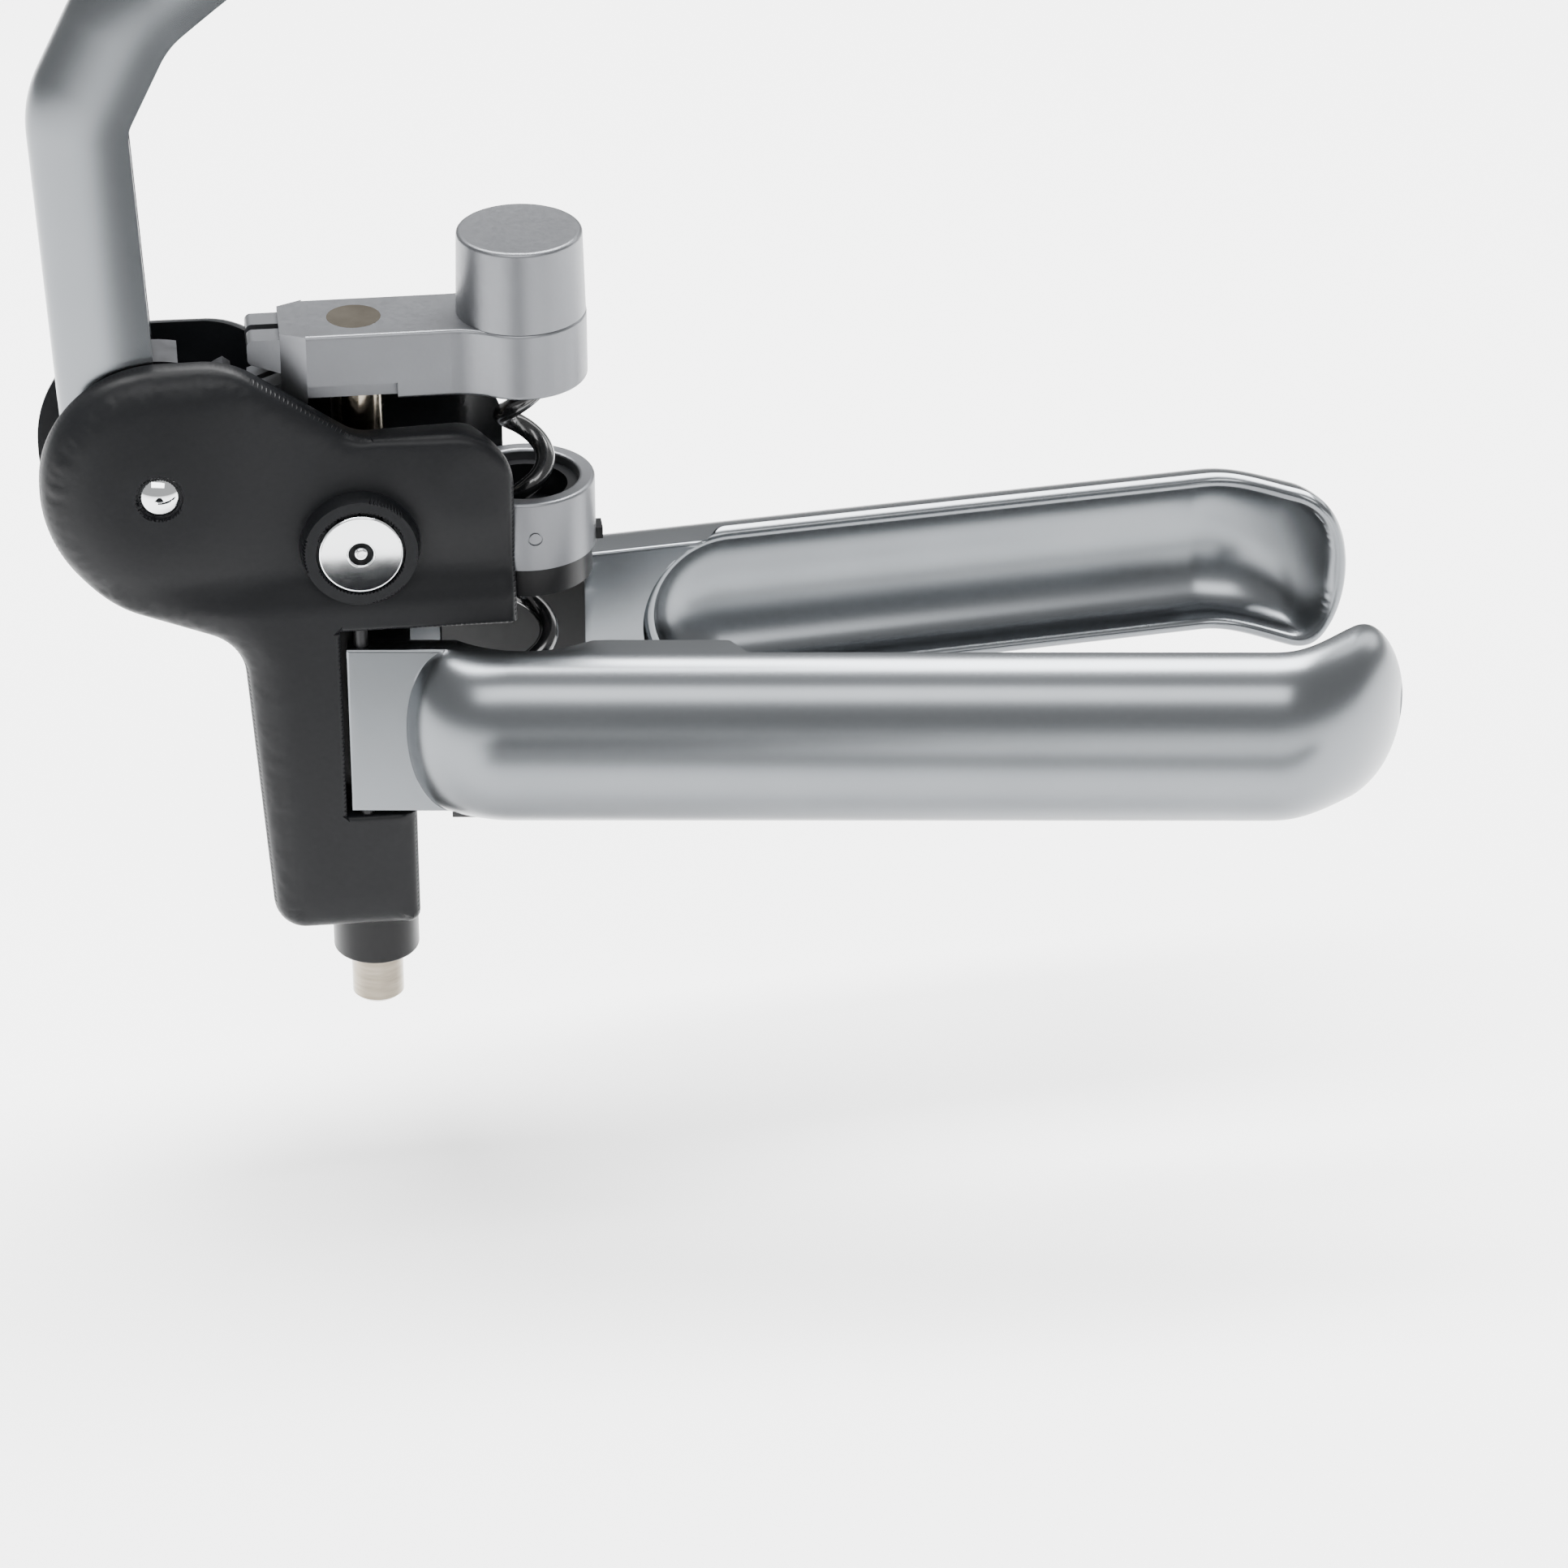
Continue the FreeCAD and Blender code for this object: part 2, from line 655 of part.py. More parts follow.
add_pad(rack, "bar", "XZ_Plane", rack_outline, "2 * rack_half_width", symmetric=True)
SHOULDER_PLAN = [
    (RACK_ROOT_X, "-rack_half_width"),
    ("-arm_back", "-arm_half_width"),
    ("-arm_back", "arm_half_width"),
    (RACK_ROOT_X, "rack_half_width"),
]
add_pad(rack, "shoulder", "XY_Plane", SHOULDER_PLAN, "arm_height", "carriage_height")
slot = [
    (f"{RACK_TIP_X} - cut_overrun", "-rack_slot_half_width"),
    (RACK_ROOT_X, "-rack_slot_half_width"),
    (RACK_ROOT_X, "rack_slot_half_width"),
    (f"{RACK_TIP_X} - cut_overrun", "rack_slot_half_width"),
]
slot_depth = "arm_height + rack_drop + 2 * cut_overrun"
add_pocket(rack, "slot", "XY_Plane", [slot], slot_depth, f"{ARM_TOP} + cut_overrun")
add_pocket(rack, "dowel_holes", "YZ_Plane", dowels, half_dowel, "-arm_back")

dowel_solids = []
for sideways in (-number("dowel_spread"), number("dowel_spread")):
    start = Vector(number(f"-arm_back - {half_dowel}"), sideways, number(DOWEL_HEIGHT))
    dowel_solids.append(
        Part.makeCylinder(number("dowel_radius"), number("dowel_length"), start, Vector(1, 0, 0))
    )
add_computed("rack_dowels", Part.makeCompound(dowel_solids))

# Cap, washer and spindle

CAP = [
    ("cap_bottom_radius - cap_wall", "0"),
    ("cap_bottom_radius", "0"),
    ("cap_top_radius", "cap_height", "cap_edge"),
    ("0", "cap_height"),
    ("0", "cap_height / 2"),
    ("cap_bottom_radius - cap_wall", "cap_height / 2"),
]
add_turned("worm_cap", CAP, "0", ARM_TOP)
WASHER = [
    ("spindle_radius + spindle_fit", "0"),
    ("spindle_flange_radius", "0"),
    ("spindle_flange_radius", "washer_thickness"),
    ("spindle_radius + spindle_fit", "washer_thickness"),
]
add_turned("thrust_washer", WASHER, "0", ARM_TOP)
SPINDLE = [
    ("0", "carriage_height + worm_seat"),
    ("spindle_radius", "carriage_height + worm_seat"),
    ("spindle_radius", FLANGE_BOTTOM),
    ("spindle_flange_radius", FLANGE_BOTTOM),
    ("spindle_flange_radius", f"{FLANGE_BOTTOM} + spindle_flange_height"),
    ("0", f"{FLANGE_BOTTOM} + spindle_flange_height"),
]
add_turned("worm_spindle", SPINDLE, "0", "0")

# Worm: a right-handed helix that starts at the spindle and ends in a point

worm_radius = number("worm_radius")
worm_pitch = number("worm_pitch")
worm_top = number("carriage_height + worm_seat")
quarter_rise = worm_pitch / 4


def worm_point(height):
    """The middle of the wire at a height; it is at the front, towards -Y, at worm_front_height."""
    turn = 2 * math.pi * (height - number("worm_front_height")) / worm_pitch - math.pi / 2
    return Vector(worm_radius * math.cos(turn), worm_radius * math.sin(turn), height)


def worm_direction(height):
    turn = 2 * math.pi * (height - number("worm_front_height")) / worm_pitch - math.pi / 2
    rise = worm_pitch / (2 * math.pi)
    return Vector(-worm_radius * math.sin(turn), worm_radius * math.cos(turn), rise).normalize()


def arc_to(start, corner, end):
    """An arc from start to end that is tangent at both to the lines through the corner."""
    chord_middle = (start + end) * 0.5
    half_chord = (end - start).Length / 2
    towards = corner - chord_middle
    sweep = math.atan2(towards.Length, half_chord)
    middle = chord_middle + towards.normalize() * (half_chord * math.tan(sweep / 2))
    return Part.Arc(start, middle, end).toShape()


def helix_edges(bottom, top):
    """Two arcs for each quarter turn, or part of one, between two heights."""
    count = max(1, math.ceil((top - bottom) / quarter_rise))
    heights = [bottom + (top - bottom) * index / count for index in range(count + 1)]
    edges = []
    for low, high in zip(heights, heights[1:]):
        start, end = worm_point(low), worm_point(high)
        leave, arrive = worm_direction(low), worm_direction(high)
        chord = end - start
        both = leave + arrive
        spread = 2 * (1 - leave.dot(arrive))
        along = chord.dot(both)
        reach = (math.sqrt(along ** 2 + spread * chord.dot(chord)) - along) / spread
        first, second = start + leave * reach, end - arrive * reach
        joint = (first + second) * 0.5
        edges += [arc_to(start, first, joint), arc_to(joint, second, end)]
    return edges


def wire_circle(height, radius):
    circle = Part.Circle(worm_point(height), worm_direction(height), radius)
    return Part.Wire([circle.toShape()])


def helix_tube(bottom, top, radius):
    """A round wire wound along the helix between two heights."""
    path = Part.Wire(helix_edges(bottom, top))
    tube = path.makePipeShell([wire_circle(bottom, radius)], True, False)
    if tube.Volume < 0:
        tube.reverse()
    return tube


wire_radius = number("worm_wire_radius")
taper_top = -number("worm_bottom") + 2 * quarter_rise
tip_height = -number("worm_bottom")
TAPER_STEPS = 8
taper = []
for step in range(TAPER_STEPS + 1):
    share = step / TAPER_STEPS
    thickness = number("worm_tip_radius") + (wire_radius - number("worm_tip_radius")) * math.sqrt(share)
    taper.append(wire_circle(tip_height + (taper_top - tip_height) * share, thickness))
tip = Part.makeLoft(taper, True, False)
body_top = worm_top + 2 * wire_radius
coil = helix_tube(taper_top, body_top, wire_radius)
reach = number("spindle_radius + cut_overrun")
ceiling = block(Vector(-reach, -reach, worm_top), Vector(reach, reach, body_top + 2 * wire_radius))
add_computed("worm", coil.cut(ceiling).fuse(tip).removeSplitter())
SAMPLE_COUNT = 400
sample_rise = (worm_top - taper_top) / SAMPLE_COUNT
samples = [worm_point(taper_top + sample_rise * index) for index in range(SAMPLE_COUNT + 1)]
half_turn = int(worm_pitch / sample_rise / 2)
least = min(
    samples[first].distanceToPoint(samples[second])
    for first in range(len(samples))
    for second in range(first + half_turn, len(samples))
)
print("least gap of the worm to itself", round(least - 2 * wire_radius, 2))

# Collar ring, its nut, bracket and key

RING = [
    ("ring_inner_radius", "ring_top - ring_height"),
    ("ring_radius", "ring_top - ring_height"),
    ("ring_radius", "ring_top", "ring_edge"),
    ("ring_inner_radius", "ring_top", "ring_edge"),
]
ring = add_turned("collar_ring", RING, "0", "0")
mark = [
    ("mark_side", "mark_height", "mark_radius"),
    ("mark_side", "mark_height", "mark_radius - mark_line"),
]
add_pocket(ring, "mark", "XZ_Plane", mark, "mark_line + cut_overrun", "ring_radius + cut_overrun")

nut_bottom = number("ring_top - ring_height - nut_skirt_height")
nut_top = number("ring_top - nut_lip_drop")
skirt_top = number("ring_top - ring_height")
nut_foot = Vector(0, 0, nut_bottom)
skirt = Part.makeCylinder(number("nut_skirt_radius"), skirt_top - nut_bottom, nut_foot)
nut = skirt.fuse(Part.makeCylinder(number("ring_inner_radius"), nut_top - nut_bottom, nut_foot))
cup_bottom = nut_bottom + number("nut_floor_height")
overrun = number("cut_overrun")
nut = nut.cut(
    Part.makeCylinder(number("nut_cup_radius"), nut_top - cup_bottom + overrun, Vector(0, 0, cup_bottom))
)
margin = 2 * wire_radius
tunnel = helix_tube(nut_bottom - margin, cup_bottom + margin, wire_radius + number("nut_clearance"))
add_computed("worm_nut", nut.cut(tunnel))

bracket = new_body("collar_bracket")
BRACKET_PLAN = [
    ("-post_front", "-bracket_half_width"),
    ("-ring_inner_radius", "-bracket_half_width"),
    ("-ring_inner_radius", "bracket_half_width"),
    ("-post_front", "bracket_half_width"),
]
add_pad(bracket, "arm", "XY_Plane", BRACKET_PLAN, "bracket_height", "bracket_bottom")
hollow = ("0", "0", "ring_radius")
above = "bracket_bottom + bracket_height + cut_overrun"
add_pocket(bracket, "seat", "XY_Plane", [hollow], "bracket_height + 2 * cut_overrun", above)
across = "2 * (bracket_half_width + cut_overrun)"
bracket_screw = SCREW_PLACES[2] + ("screw_radius",)
add_pocket(bracket, "screw_hole", "XZ_Plane", [bracket_screw], across, symmetric=True)

key = new_body("collar_key")
KEY_PLAN = [
    ("ring_inner_radius", "-key_half_width"),
    ("ring_radius + key_reach", "-key_half_width"),
    ("ring_radius + key_reach", "key_half_width"),
    ("ring_inner_radius", "key_half_width"),
]
add_pad(key, "stub", "XY_Plane", KEY_PLAN, "key_height", "key_bottom")
above = "key_bottom + key_height + cut_overrun"
add_pocket(key, "seat", "XY_Plane", [("0", "0", "ring_radius")], "key_height + 2 * cut_overrun", above)

# Pivot pin, domes, discs, rivets, screws and hinge pins

PIN_END = f"({COVER_OUTER} - dome_recess_depth)"
PIVOT_PIN = [("0", "0"), ("pin_radius", "0"), ("pin_radius", f"2 * {PIN_END}"), ("0", f"2 * {PIN_END}")]
add_turned("lever_pin", PIVOT_PIN, "-pivot_back", "pivot_height", PIN_END, "near")
HINGE_PIN = [("0", "0"), ("grip_pin_radius", "0"), ("grip_pin_radius", HINGE_LENGTH), ("0", HINGE_LENGTH)]
BALL_RADIUS = "((dome_radius ^ 2 + dome_rise ^ 2) / (2 * dome_rise))"
DISC = [
    ("disc_hole_radius", "0"),
    ("disc_radius", "0"),
    ("disc_radius", "disc_thickness", "disc_margin"),
    ("disc_hole_radius", "disc_thickness", "disc_margin"),
]
RIVET = [
    ("0", "-rivet_length"),
    ("rivet_radius", "-rivet_length"),
    ("rivet_radius", "disc_thickness", "rivet_radius / 2"),
    ("0", "disc_thickness"),
]


def make_dome(side):
    """A spherical cap on the end of the pivot pin."""
    ball_radius = number(BALL_RADIUS)
    centre_depth = ball_radius - number("dome_rise")
    ball = Part.makeSphere(ball_radius, Vector(0, 0, -centre_depth))
    size = 2 * ball_radius
    shape = ball.common(block(Vector(-size, -size, 0), Vector(size, size, size)))
    place = Vector(number("-pivot_back"), side * number(PIN_END), number("pivot_height"))
    name = SIDE_NAMES[side]
    add_computed(f"{name}_dome", shape, Placement(place, FACINGS[name]))


for side in (NEAR, FAR):
    name = SIDE_NAMES[side]
    make_dome(side)
    floor = f"{side} * ({COVER_OUTER} + boss_rise - disc_recess_depth)"
    add_turned(f"{name}_disc", DISC, "-disc_back", "disc_height", floor, name)
    add_turned(f"{name}_rivet", RIVET, "-disc_back", "disc_height", floor, name)
    sideways = f"{side} * grip_pin_side"
    add_turned(f"{name}_hinge_pin", HINGE_PIN, "-grip_pin_back", HINGE_FOOT, sideways)

screw_solids = []
head_face = number(f"{COVER_OUTER} - screw_head_depth")
head_height = number("screw_head_depth") / 2
for back, height in SCREW_PLACES:
    end = Vector(number(back), -number("screw_reach"), number(height))
    shank_length = head_face - end.y
    shank = Part.makeCylinder(number("screw_radius"), shank_length, end, Vector(0, 1, 0))
    seat_point = Vector(end.x, head_face, end.z)
    head = Part.makeCylinder(number("screw_head_radius"), head_height, seat_point, Vector(0, 1, 0))
    screw_solids.append(shank.fuse(head).removeSplitter())
add_computed("cover_screws", Part.makeCompound(screw_solids))


# Bulged troughs: the lever and both grips

SECTION_STEPS = 12
LEVER_POWER = 3
HANDLE_POWER = 2.4


def bowl_section(origin, outward, sideways, half_width, depth, lip, power):
    """A closed U whose open side lies at the origin and whose bottom is out by the depth."""
    points = []
    for step in range(SECTION_STEPS + 1):
        angle = math.pi * (step / SECTION_STEPS - 0.5)
        sine, cosine = math.sin(angle), max(math.cos(angle), 0.0)
        width = half_width * math.copysign(abs(sine) ** (2 / power), sine)
        points.append(origin + sideways * width + outward * (depth * cosine ** (2 / power)))
    points[0] = origin - sideways * half_width
    points[-1] = origin + sideways * half_width
    curve = Part.BSplineCurve()
    curve.interpolate(points)
    corners = [points[-1]]
    if lip:
        corners += [points[-1] - outward * lip, points[0] - outward * lip]
    corners.append(points[0])
    lines = [Part.LineSegment(start, end).toShape() for start, end in zip(corners, corners[1:])]
    return Part.Wire([curve.toShape()] + lines)


CAP_TURNS = (84, 76, 68, 60, 52, 44, 36, 28, 20, 10, 0)


def smooth(share):
    """A share that leaves nought and reaches one gently."""
    share = min(max(share, 0), 1)
    return share * share * (3 - 2 * share)


def rounded(share):
    """The height of a quarter circle at a share of its foot, and full height before it starts."""
    return math.sqrt(1 - max(share, 0) ** 2)


def trough_section(along, rim, half_height, side, depth, lip):
    """A grip's section: straight sides from the rim plane, closed by an arc at full depth."""
    low = Vector(along, -rim, -half_height)
    high = Vector(along, -rim, half_height)
    low_side = low - Vector(0, side, 0)
    high_side = high - Vector(0, side, 0)
    arc = Part.Arc(low_side, Vector(along, -rim - depth, 0), high_side)
    corners = [high_side, high + Vector(0, lip, 0), low + Vector(0, lip, 0), low_side]
    lines = [Part.LineSegment(start, end).toShape() for start, end in zip(corners, corners[1:])]
    return Part.Wire([arc.toShape()] + lines)


def grip_trough(start, start_rounding, wall, lip):
    """The bulge of the near grip in its own frame, or its hollow when a wall is taken off."""
    half_height = number("grip_half_height") - wall
    rim = number("rim_offset")
    depth = number("bulge_depth") - wall
    side = number("rim_side")
    bend = number("tip_bend")
    tip_depth = depth + bend
    start_length = number("bulge_start_length") - wall
    bend_start = number("grip_length - tip_length")
    tip_length = number("tip_length") - wall
    tip_rounding = number("tip_rounding") - wall
    first_cap = []
    for turn in CAP_TURNS:
        run = start_length * (1 - math.sin(math.radians(turn)))
        tall = half_height * rounded(1 - run / start_rounding)
        deep = depth * rounded(1 - run / start_length)
        first_cap.append(trough_section(start + run, rim, tall, side * deep / depth, deep, lip))
    last_cap = []
    for turn in reversed(CAP_TURNS):
        share = math.sin(math.radians(turn))
        run = tip_length * share
        inward = bend * smooth(share / number("tip_bend_share")) ** number("tip_bend_power")
        deep = (depth + bend) * (1 - share ** 2) ** number("tip_power") - bend + inward
        tall = half_height * rounded(1 - (tip_length - run) / tip_rounding)
        upright = side * tall / half_height
        last_cap.append(trough_section(bend_start + run, rim - inward, tall, upright, deep, lip))
    straight_start = start + start_length
    straight = Part.Face(trough_section(straight_start, rim, half_height, side, depth, lip))
    straight = straight.extrude(Vector(bend_start - straight_start, 0, 0))
    caps = [Part.makeLoft(first_cap, True, False, False, 3), Part.makeLoft(last_cap, True, False, False, 3)]
    return straight.fuse(caps)


def neck_column(low, high, relief):
    """The bottle's neck in the near grip's frame between two heights, widened by a relief."""
    base = Vector(neck_in_grip.x, neck_in_grip.y, low)
    return Part.makeCylinder(number("neck_radius") + relief, high - low, base)


def make_grip():
    """The near grip in its own frame: the pin's axis is Z, +X runs to the tip, -Y is outside."""
    half_height = number("grip_half_height")
    thickness = number("plate_half_thickness")
    wall = number("grip_wall")
    outer = grip_trough(number("bulge_start"), number("bulge_start_rounding"), 0, 0)
    hollow_start = number("plate_end") + wall
    hollow = grip_trough(hollow_start, half_height - wall, wall, 4 * thickness)
    arch_radius = half_height
    arch_centre = number("plate_end") + arch_radius
    plate = block(
        Vector(-number("plate_tail"), -thickness, -half_height),
        Vector(arch_centre - arch_radius / 4, thickness, half_height),
    )
    arch = Part.makeCylinder(
        arch_radius, 4 * thickness, Vector(arch_centre, -2 * thickness, 0), Vector(0, 1, 0)
    )
    grip = outer.fuse(plate.cut(arch)).cut(hollow)
    jaw = number("jaw_width") / 2
    seat = block(
        Vector(neck_in_grip.x - jaw, -thickness - number("jaw_seat_depth"), -half_height - overrun),
        Vector(neck_in_grip.x + jaw, thickness, number("jaw_height") - half_height),
    )
    neck = neck_column(-half_height - overrun, half_height + overrun, number("jaw_relief"))
    hole_radius = number("grip_pin_radius + pin_fit")
    hole_foot = Vector(0, 0, -half_height - overrun)
    hole = Part.makeCylinder(hole_radius, 2 * half_height + 2 * overrun, hole_foot)
    return grip.cut(seat).cut(neck).cut(hole)


def make_jaw():
    """The near rubber jaw: its low lip holds the neck, and above that it clears the bottle's rim."""
    thickness = number("plate_half_thickness")
    low = -number("grip_half_height")
    high = low + number("jaw_height")
    lip_top = low + number("jaw_lip_height")
    jaw = number("jaw_width") / 2
    pad = block(
        Vector(neck_in_grip.x - jaw, -thickness - number("jaw_seat_depth"), low),
        Vector(neck_in_grip.x + jaw, number("jaw_reach"), high),
    )
    neck = neck_column(low - overrun, high + overrun, 0)
    rim = neck_column(lip_top, high + overrun, number("jaw_relief"))
    return pad.cut(neck).cut(rim)


yaw = number("grip_yaw")
near_place = Placement(
    Vector(-number("grip_pin_back"), -number("grip_pin_side"), 0), Rotation(Vector(0, 0, 1), -yaw)
)
neck_in_grip = near_place.inverse().multVec(Vector())
near_grip_shape = make_grip()
near_jaw_shape = make_jaw()
add_computed("near_grip", near_grip_shape, near_place)
add_computed("near_jaw", near_jaw_shape, near_place)
far_place = Placement(
    Vector(-number("grip_pin_back"), number("grip_pin_side"), 0), Rotation(Vector(0, 0, 1), yaw)
)
mid_plane = (Vector(), Vector(0, 1, 0))
add_computed("far_grip", near_grip_shape.mirror(*mid_plane), far_place)
add_computed("far_jaw", near_jaw_shape.mirror(*mid_plane), far_place)


# Lever: a channel that rises from the hub, bends twice and swells into the handle


def heading_at(degrees):
    """A direction in the mid-plane, counted from +X towards +Z."""
    return Vector(math.cos(math.radians(degrees)), 0, math.sin(math.radians(degrees)))


def lever_channel(wall, lip, run_in):
    """The lever's outer form stretch by stretch, or its hollow when a wall is taken off."""
    sideways = Vector(0, 1, 0)
    half_width = number("lever_half_width")
    depth = number("lever_depth")
    lengths = [number("lever_shank_length"), number("lever_neck_length")]
    angles = [number("lever_shank_angle"), number("lever_neck_angle"), number("lever_handle_angle")]
    bends = [number("lever_shank_bend"), number("lever_neck_bend")]
    point = Vector(-number("lever_start_back"), 0, number("lever_start_height"))
    bent = 0
    pieces = []

    def face_at(place, degrees):
        outward = heading_at(degrees + 90)
        wire = bowl_section(place, outward, sideways, half_width - wall, depth - wall, lip, LEVER_POWER)
        return Part.Face(wire)

    for length, radius, angle, next_angle in zip(lengths, bends, angles, angles[1:]):
        heading = heading_at(angle)
        turn = angle - next_angle
        tangent = radius * math.tan(math.radians(turn / 2))
        straight = length - bent - tangent
        pieces.append(face_at(point - heading * run_in, angle).extrude(heading * (straight + run_in)))
        point = point + heading * straight
        centre = point + heading_at(angle - 90) * radius
        pieces.append(face_at(point, angle).revolve(centre, sideways, turn))
        point = centre + heading_at(next_angle + 90) * radius
        bent = tangent
        run_in = 0

    heading = heading_at(angles[-1])
    outward = heading_at(angles[-1] + 90)
    swell = number("lever_swell_length")
    end_length = number("lever_end_length") - wall
    straight = number("lever_handle_length") - bent - wall - end_length

    def handle_section(distance, size):
        grown = smooth(distance / swell)
        wide = half_width + (number("lever_handle_half_width") - half_width) * grown - wall
        deep = depth + (number("lever_handle_depth") - depth) * grown - wall
        power = LEVER_POWER + (HANDLE_POWER - LEVER_POWER) * grown
        place = point + heading * distance
        wide = wide * size ** number("lever_end_share")
        return bowl_section(place, outward, sideways, wide, deep * size, lip, power)

    sections = [handle_section(swell * share, 1) for share in (0, 0.25, 0.5, 0.75, 1)]
    sections.append(handle_section((swell + straight) / 2, 1))
    for turn in reversed(CAP_TURNS):
        size = math.cos(math.radians(turn))
        distance = straight + end_length * math.sin(math.radians(turn))
        sections.append(handle_section(distance, size))
    pieces.append(Part.makeLoft(sections, True, False))
    return pieces


pivot = Vector(-number("pivot_back"), 0, number("pivot_height"))
gear_half = number("gear_half_width")
lever_half = number("lever_half_width")
hub_hole_radius = number("pin_radius + pin_fit")
rivet_places = []
for direction in ("gear_rivet_high_angle", "gear_rivet_low_angle"):
    rivet_places.append(pivot + heading_at(number(direction)) * number("gear_rivet_ring"))


def across_cylinder(centre, radius, low, high):
    """A cylinder along Y between two distances from the mid-plane."""
    return Part.makeCylinder(radius, high - low, Vector(centre.x, low, centre.z), Vector(0, 1, 0))


def make_lever():
    solid = lever_channel(0, 0, 0)
    hollow = lever_channel(number("lever_wall"), overrun, overrun)
    stretches = [outside.cut(inside) for outside, inside in zip(solid, hollow)]
    lever = stretches[0].fuse(stretches[1:]).removeSplitter()
    for low, high in ((-lever_half, -gear_half), (gear_half, lever_half)):
        lever = lever.fuse(across_cylinder(pivot, number("cheek_radius"), low, high))
    hub = across_cylinder(pivot, number("gear_hub_radius") + overrun / 2, -gear_half, gear_half)
    lever = lever.cut(hub)
    lever = lever.cut(across_cylinder(pivot, hub_hole_radius, -2 * lever_half, 2 * lever_half))
    for place in rivet_places:
        hole = across_cylinder(place, number("gear_rivet_radius"), -2 * lever_half, 2 * lever_half)
        lever = lever.cut(hole)
    return lever


# Toothed sector on the lever's hub


def involute_angle(radius, base):
    """How far an involute has turned from its base circle by a radius."""
    ratio = math.sqrt((radius / base) ** 2 - 1)
    return ratio - math.atan(ratio)


def make_gear():
    pitch_radius = number(PITCH_RADIUS)
    base = pitch_radius * math.cos(math.radians(number("pressure_angle")))
    root = pitch_radius - number("dedendum_share * gear_module")
    tip_radius = number(GEAR_TIP_RADIUS) - number("rack_backlash")
    half_tooth = math.pi / (2 * number("gear_teeth")) - number("rack_backlash") / (2 * pitch_radius)
    at_pitch = involute_angle(pitch_radius, base)

    def spot(radius, angle):
        return pivot + Vector(radius * math.cos(angle), 0, radius * math.sin(angle))

    def tooth(centre):
        radii = [base + (tip_radius - base) * step / 4 for step in range(5)]
        offsets = [half_tooth + at_pitch - involute_angle(radius, base) for radius in radii]
        lower = [spot(root - overrun, centre - offsets[0])]
        lower += [spot(radius, centre - offset) for radius, offset in zip(radii, offsets)]
        upper = [spot(radius, centre + offset) for radius, offset in zip(radii, offsets)]
        upper.reverse()
        upper.append(spot(root - overrun, centre + offsets[0]))
        points = lower + upper
        profile = Part.makePolygon(points + [points[0]])
        face = Part.Face(profile)
        face.translate(Vector(0, -gear_half, 0))
        return face.extrude(Vector(0, 2 * gear_half, 0))

    step_angle = 2 * math.pi / number("gear_teeth")
    meshed = number(f"(pivot_height - {RACK_TOOTH}) / {TOOTH_PITCH}")
    nearest = round(meshed * -1)
    drop = number(RACK_TOOTH) - nearest * number(TOOTH_PITCH) - pivot.z
    space = drop / pitch_radius
    first_tooth = space + step_angle * 2.5
    tooth_total = tooth_count
    centres = [first_tooth - step_angle * index for index in range(tooth_total)]
    gear = across_cylinder(pivot, number("gear_hub_radius"), -gear_half, gear_half)
    low = math.degrees(centres[-1] - step_angle / 2)
    high = math.degrees(centres[0] + step_angle / 2)
    gear = gear.fuse(sector(root, low, high))
    gear = gear.fuse(sector(tip_radius, number("gear_stop_start"), number("gear_stop_end")))
    for centre in centres:
        gear = gear.fuse(tooth(centre))
    gear = gear.cut(across_cylinder(pivot, hub_hole_radius, -2 * gear_half, 2 * gear_half))
    for place in rivet_places:
        gear = gear.cut(across_cylinder(place, number("gear_rivet_radius"), -2 * gear_half, 2 * gear_half))
    return gear.removeSplitter()


def sector(radius, low, high):
    """A slice of a disc about the pivot between two angles in degrees."""
    slice_angle = high - low
    axis = Vector(0, -1, 0)
    disc = Part.makeCylinder(radius, 2 * gear_half, Vector(), Vector(0, 0, 1), slice_angle)
    # The cylinder's own X starts the slice; it is stood up so that angles run from +X to +Z
    disc.Placement = Placement(Vector(0, gear_half, 0), Rotation(Vector(1, 0, 0), 90))
    disc.rotate(Vector(), axis, low)
    disc.translate(pivot)
    return disc


add_computed("lever", make_lever())
add_computed("lever_gear", make_gear())
rivet_radius = number("gear_rivet_radius")
rivets = [across_cylinder(place, rivet_radius, -lever_half, lever_half) for place in rivet_places]
add_computed("gear_rivets", Part.makeCompound(rivets))

# Checks on every object, and the files

doc.recompute()
for item in doc.Objects:
    if "Invalid" in item.State or "Error" in item.State:
        raise RuntimeError(f"{item.Name} failed: {item.State}")
os.makedirs("parts", exist_ok=True)
for node in NODES:
    shape = node.Shape
    if shape.isNull() or not shape.isValid() or not shape.Solids:
        raise RuntimeError(f"{node.Label} has no valid solid")
    shape.exportStep(f"parts/{node.Label}.step")
    print(node.Label, len(shape.Solids), round(shape.Volume, 1))
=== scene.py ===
import json
import math

import bmesh
import bpy
import numpy as np
from mathutils import Matrix, Vector
from mathutils.geometry import delaunay_2d_cdt


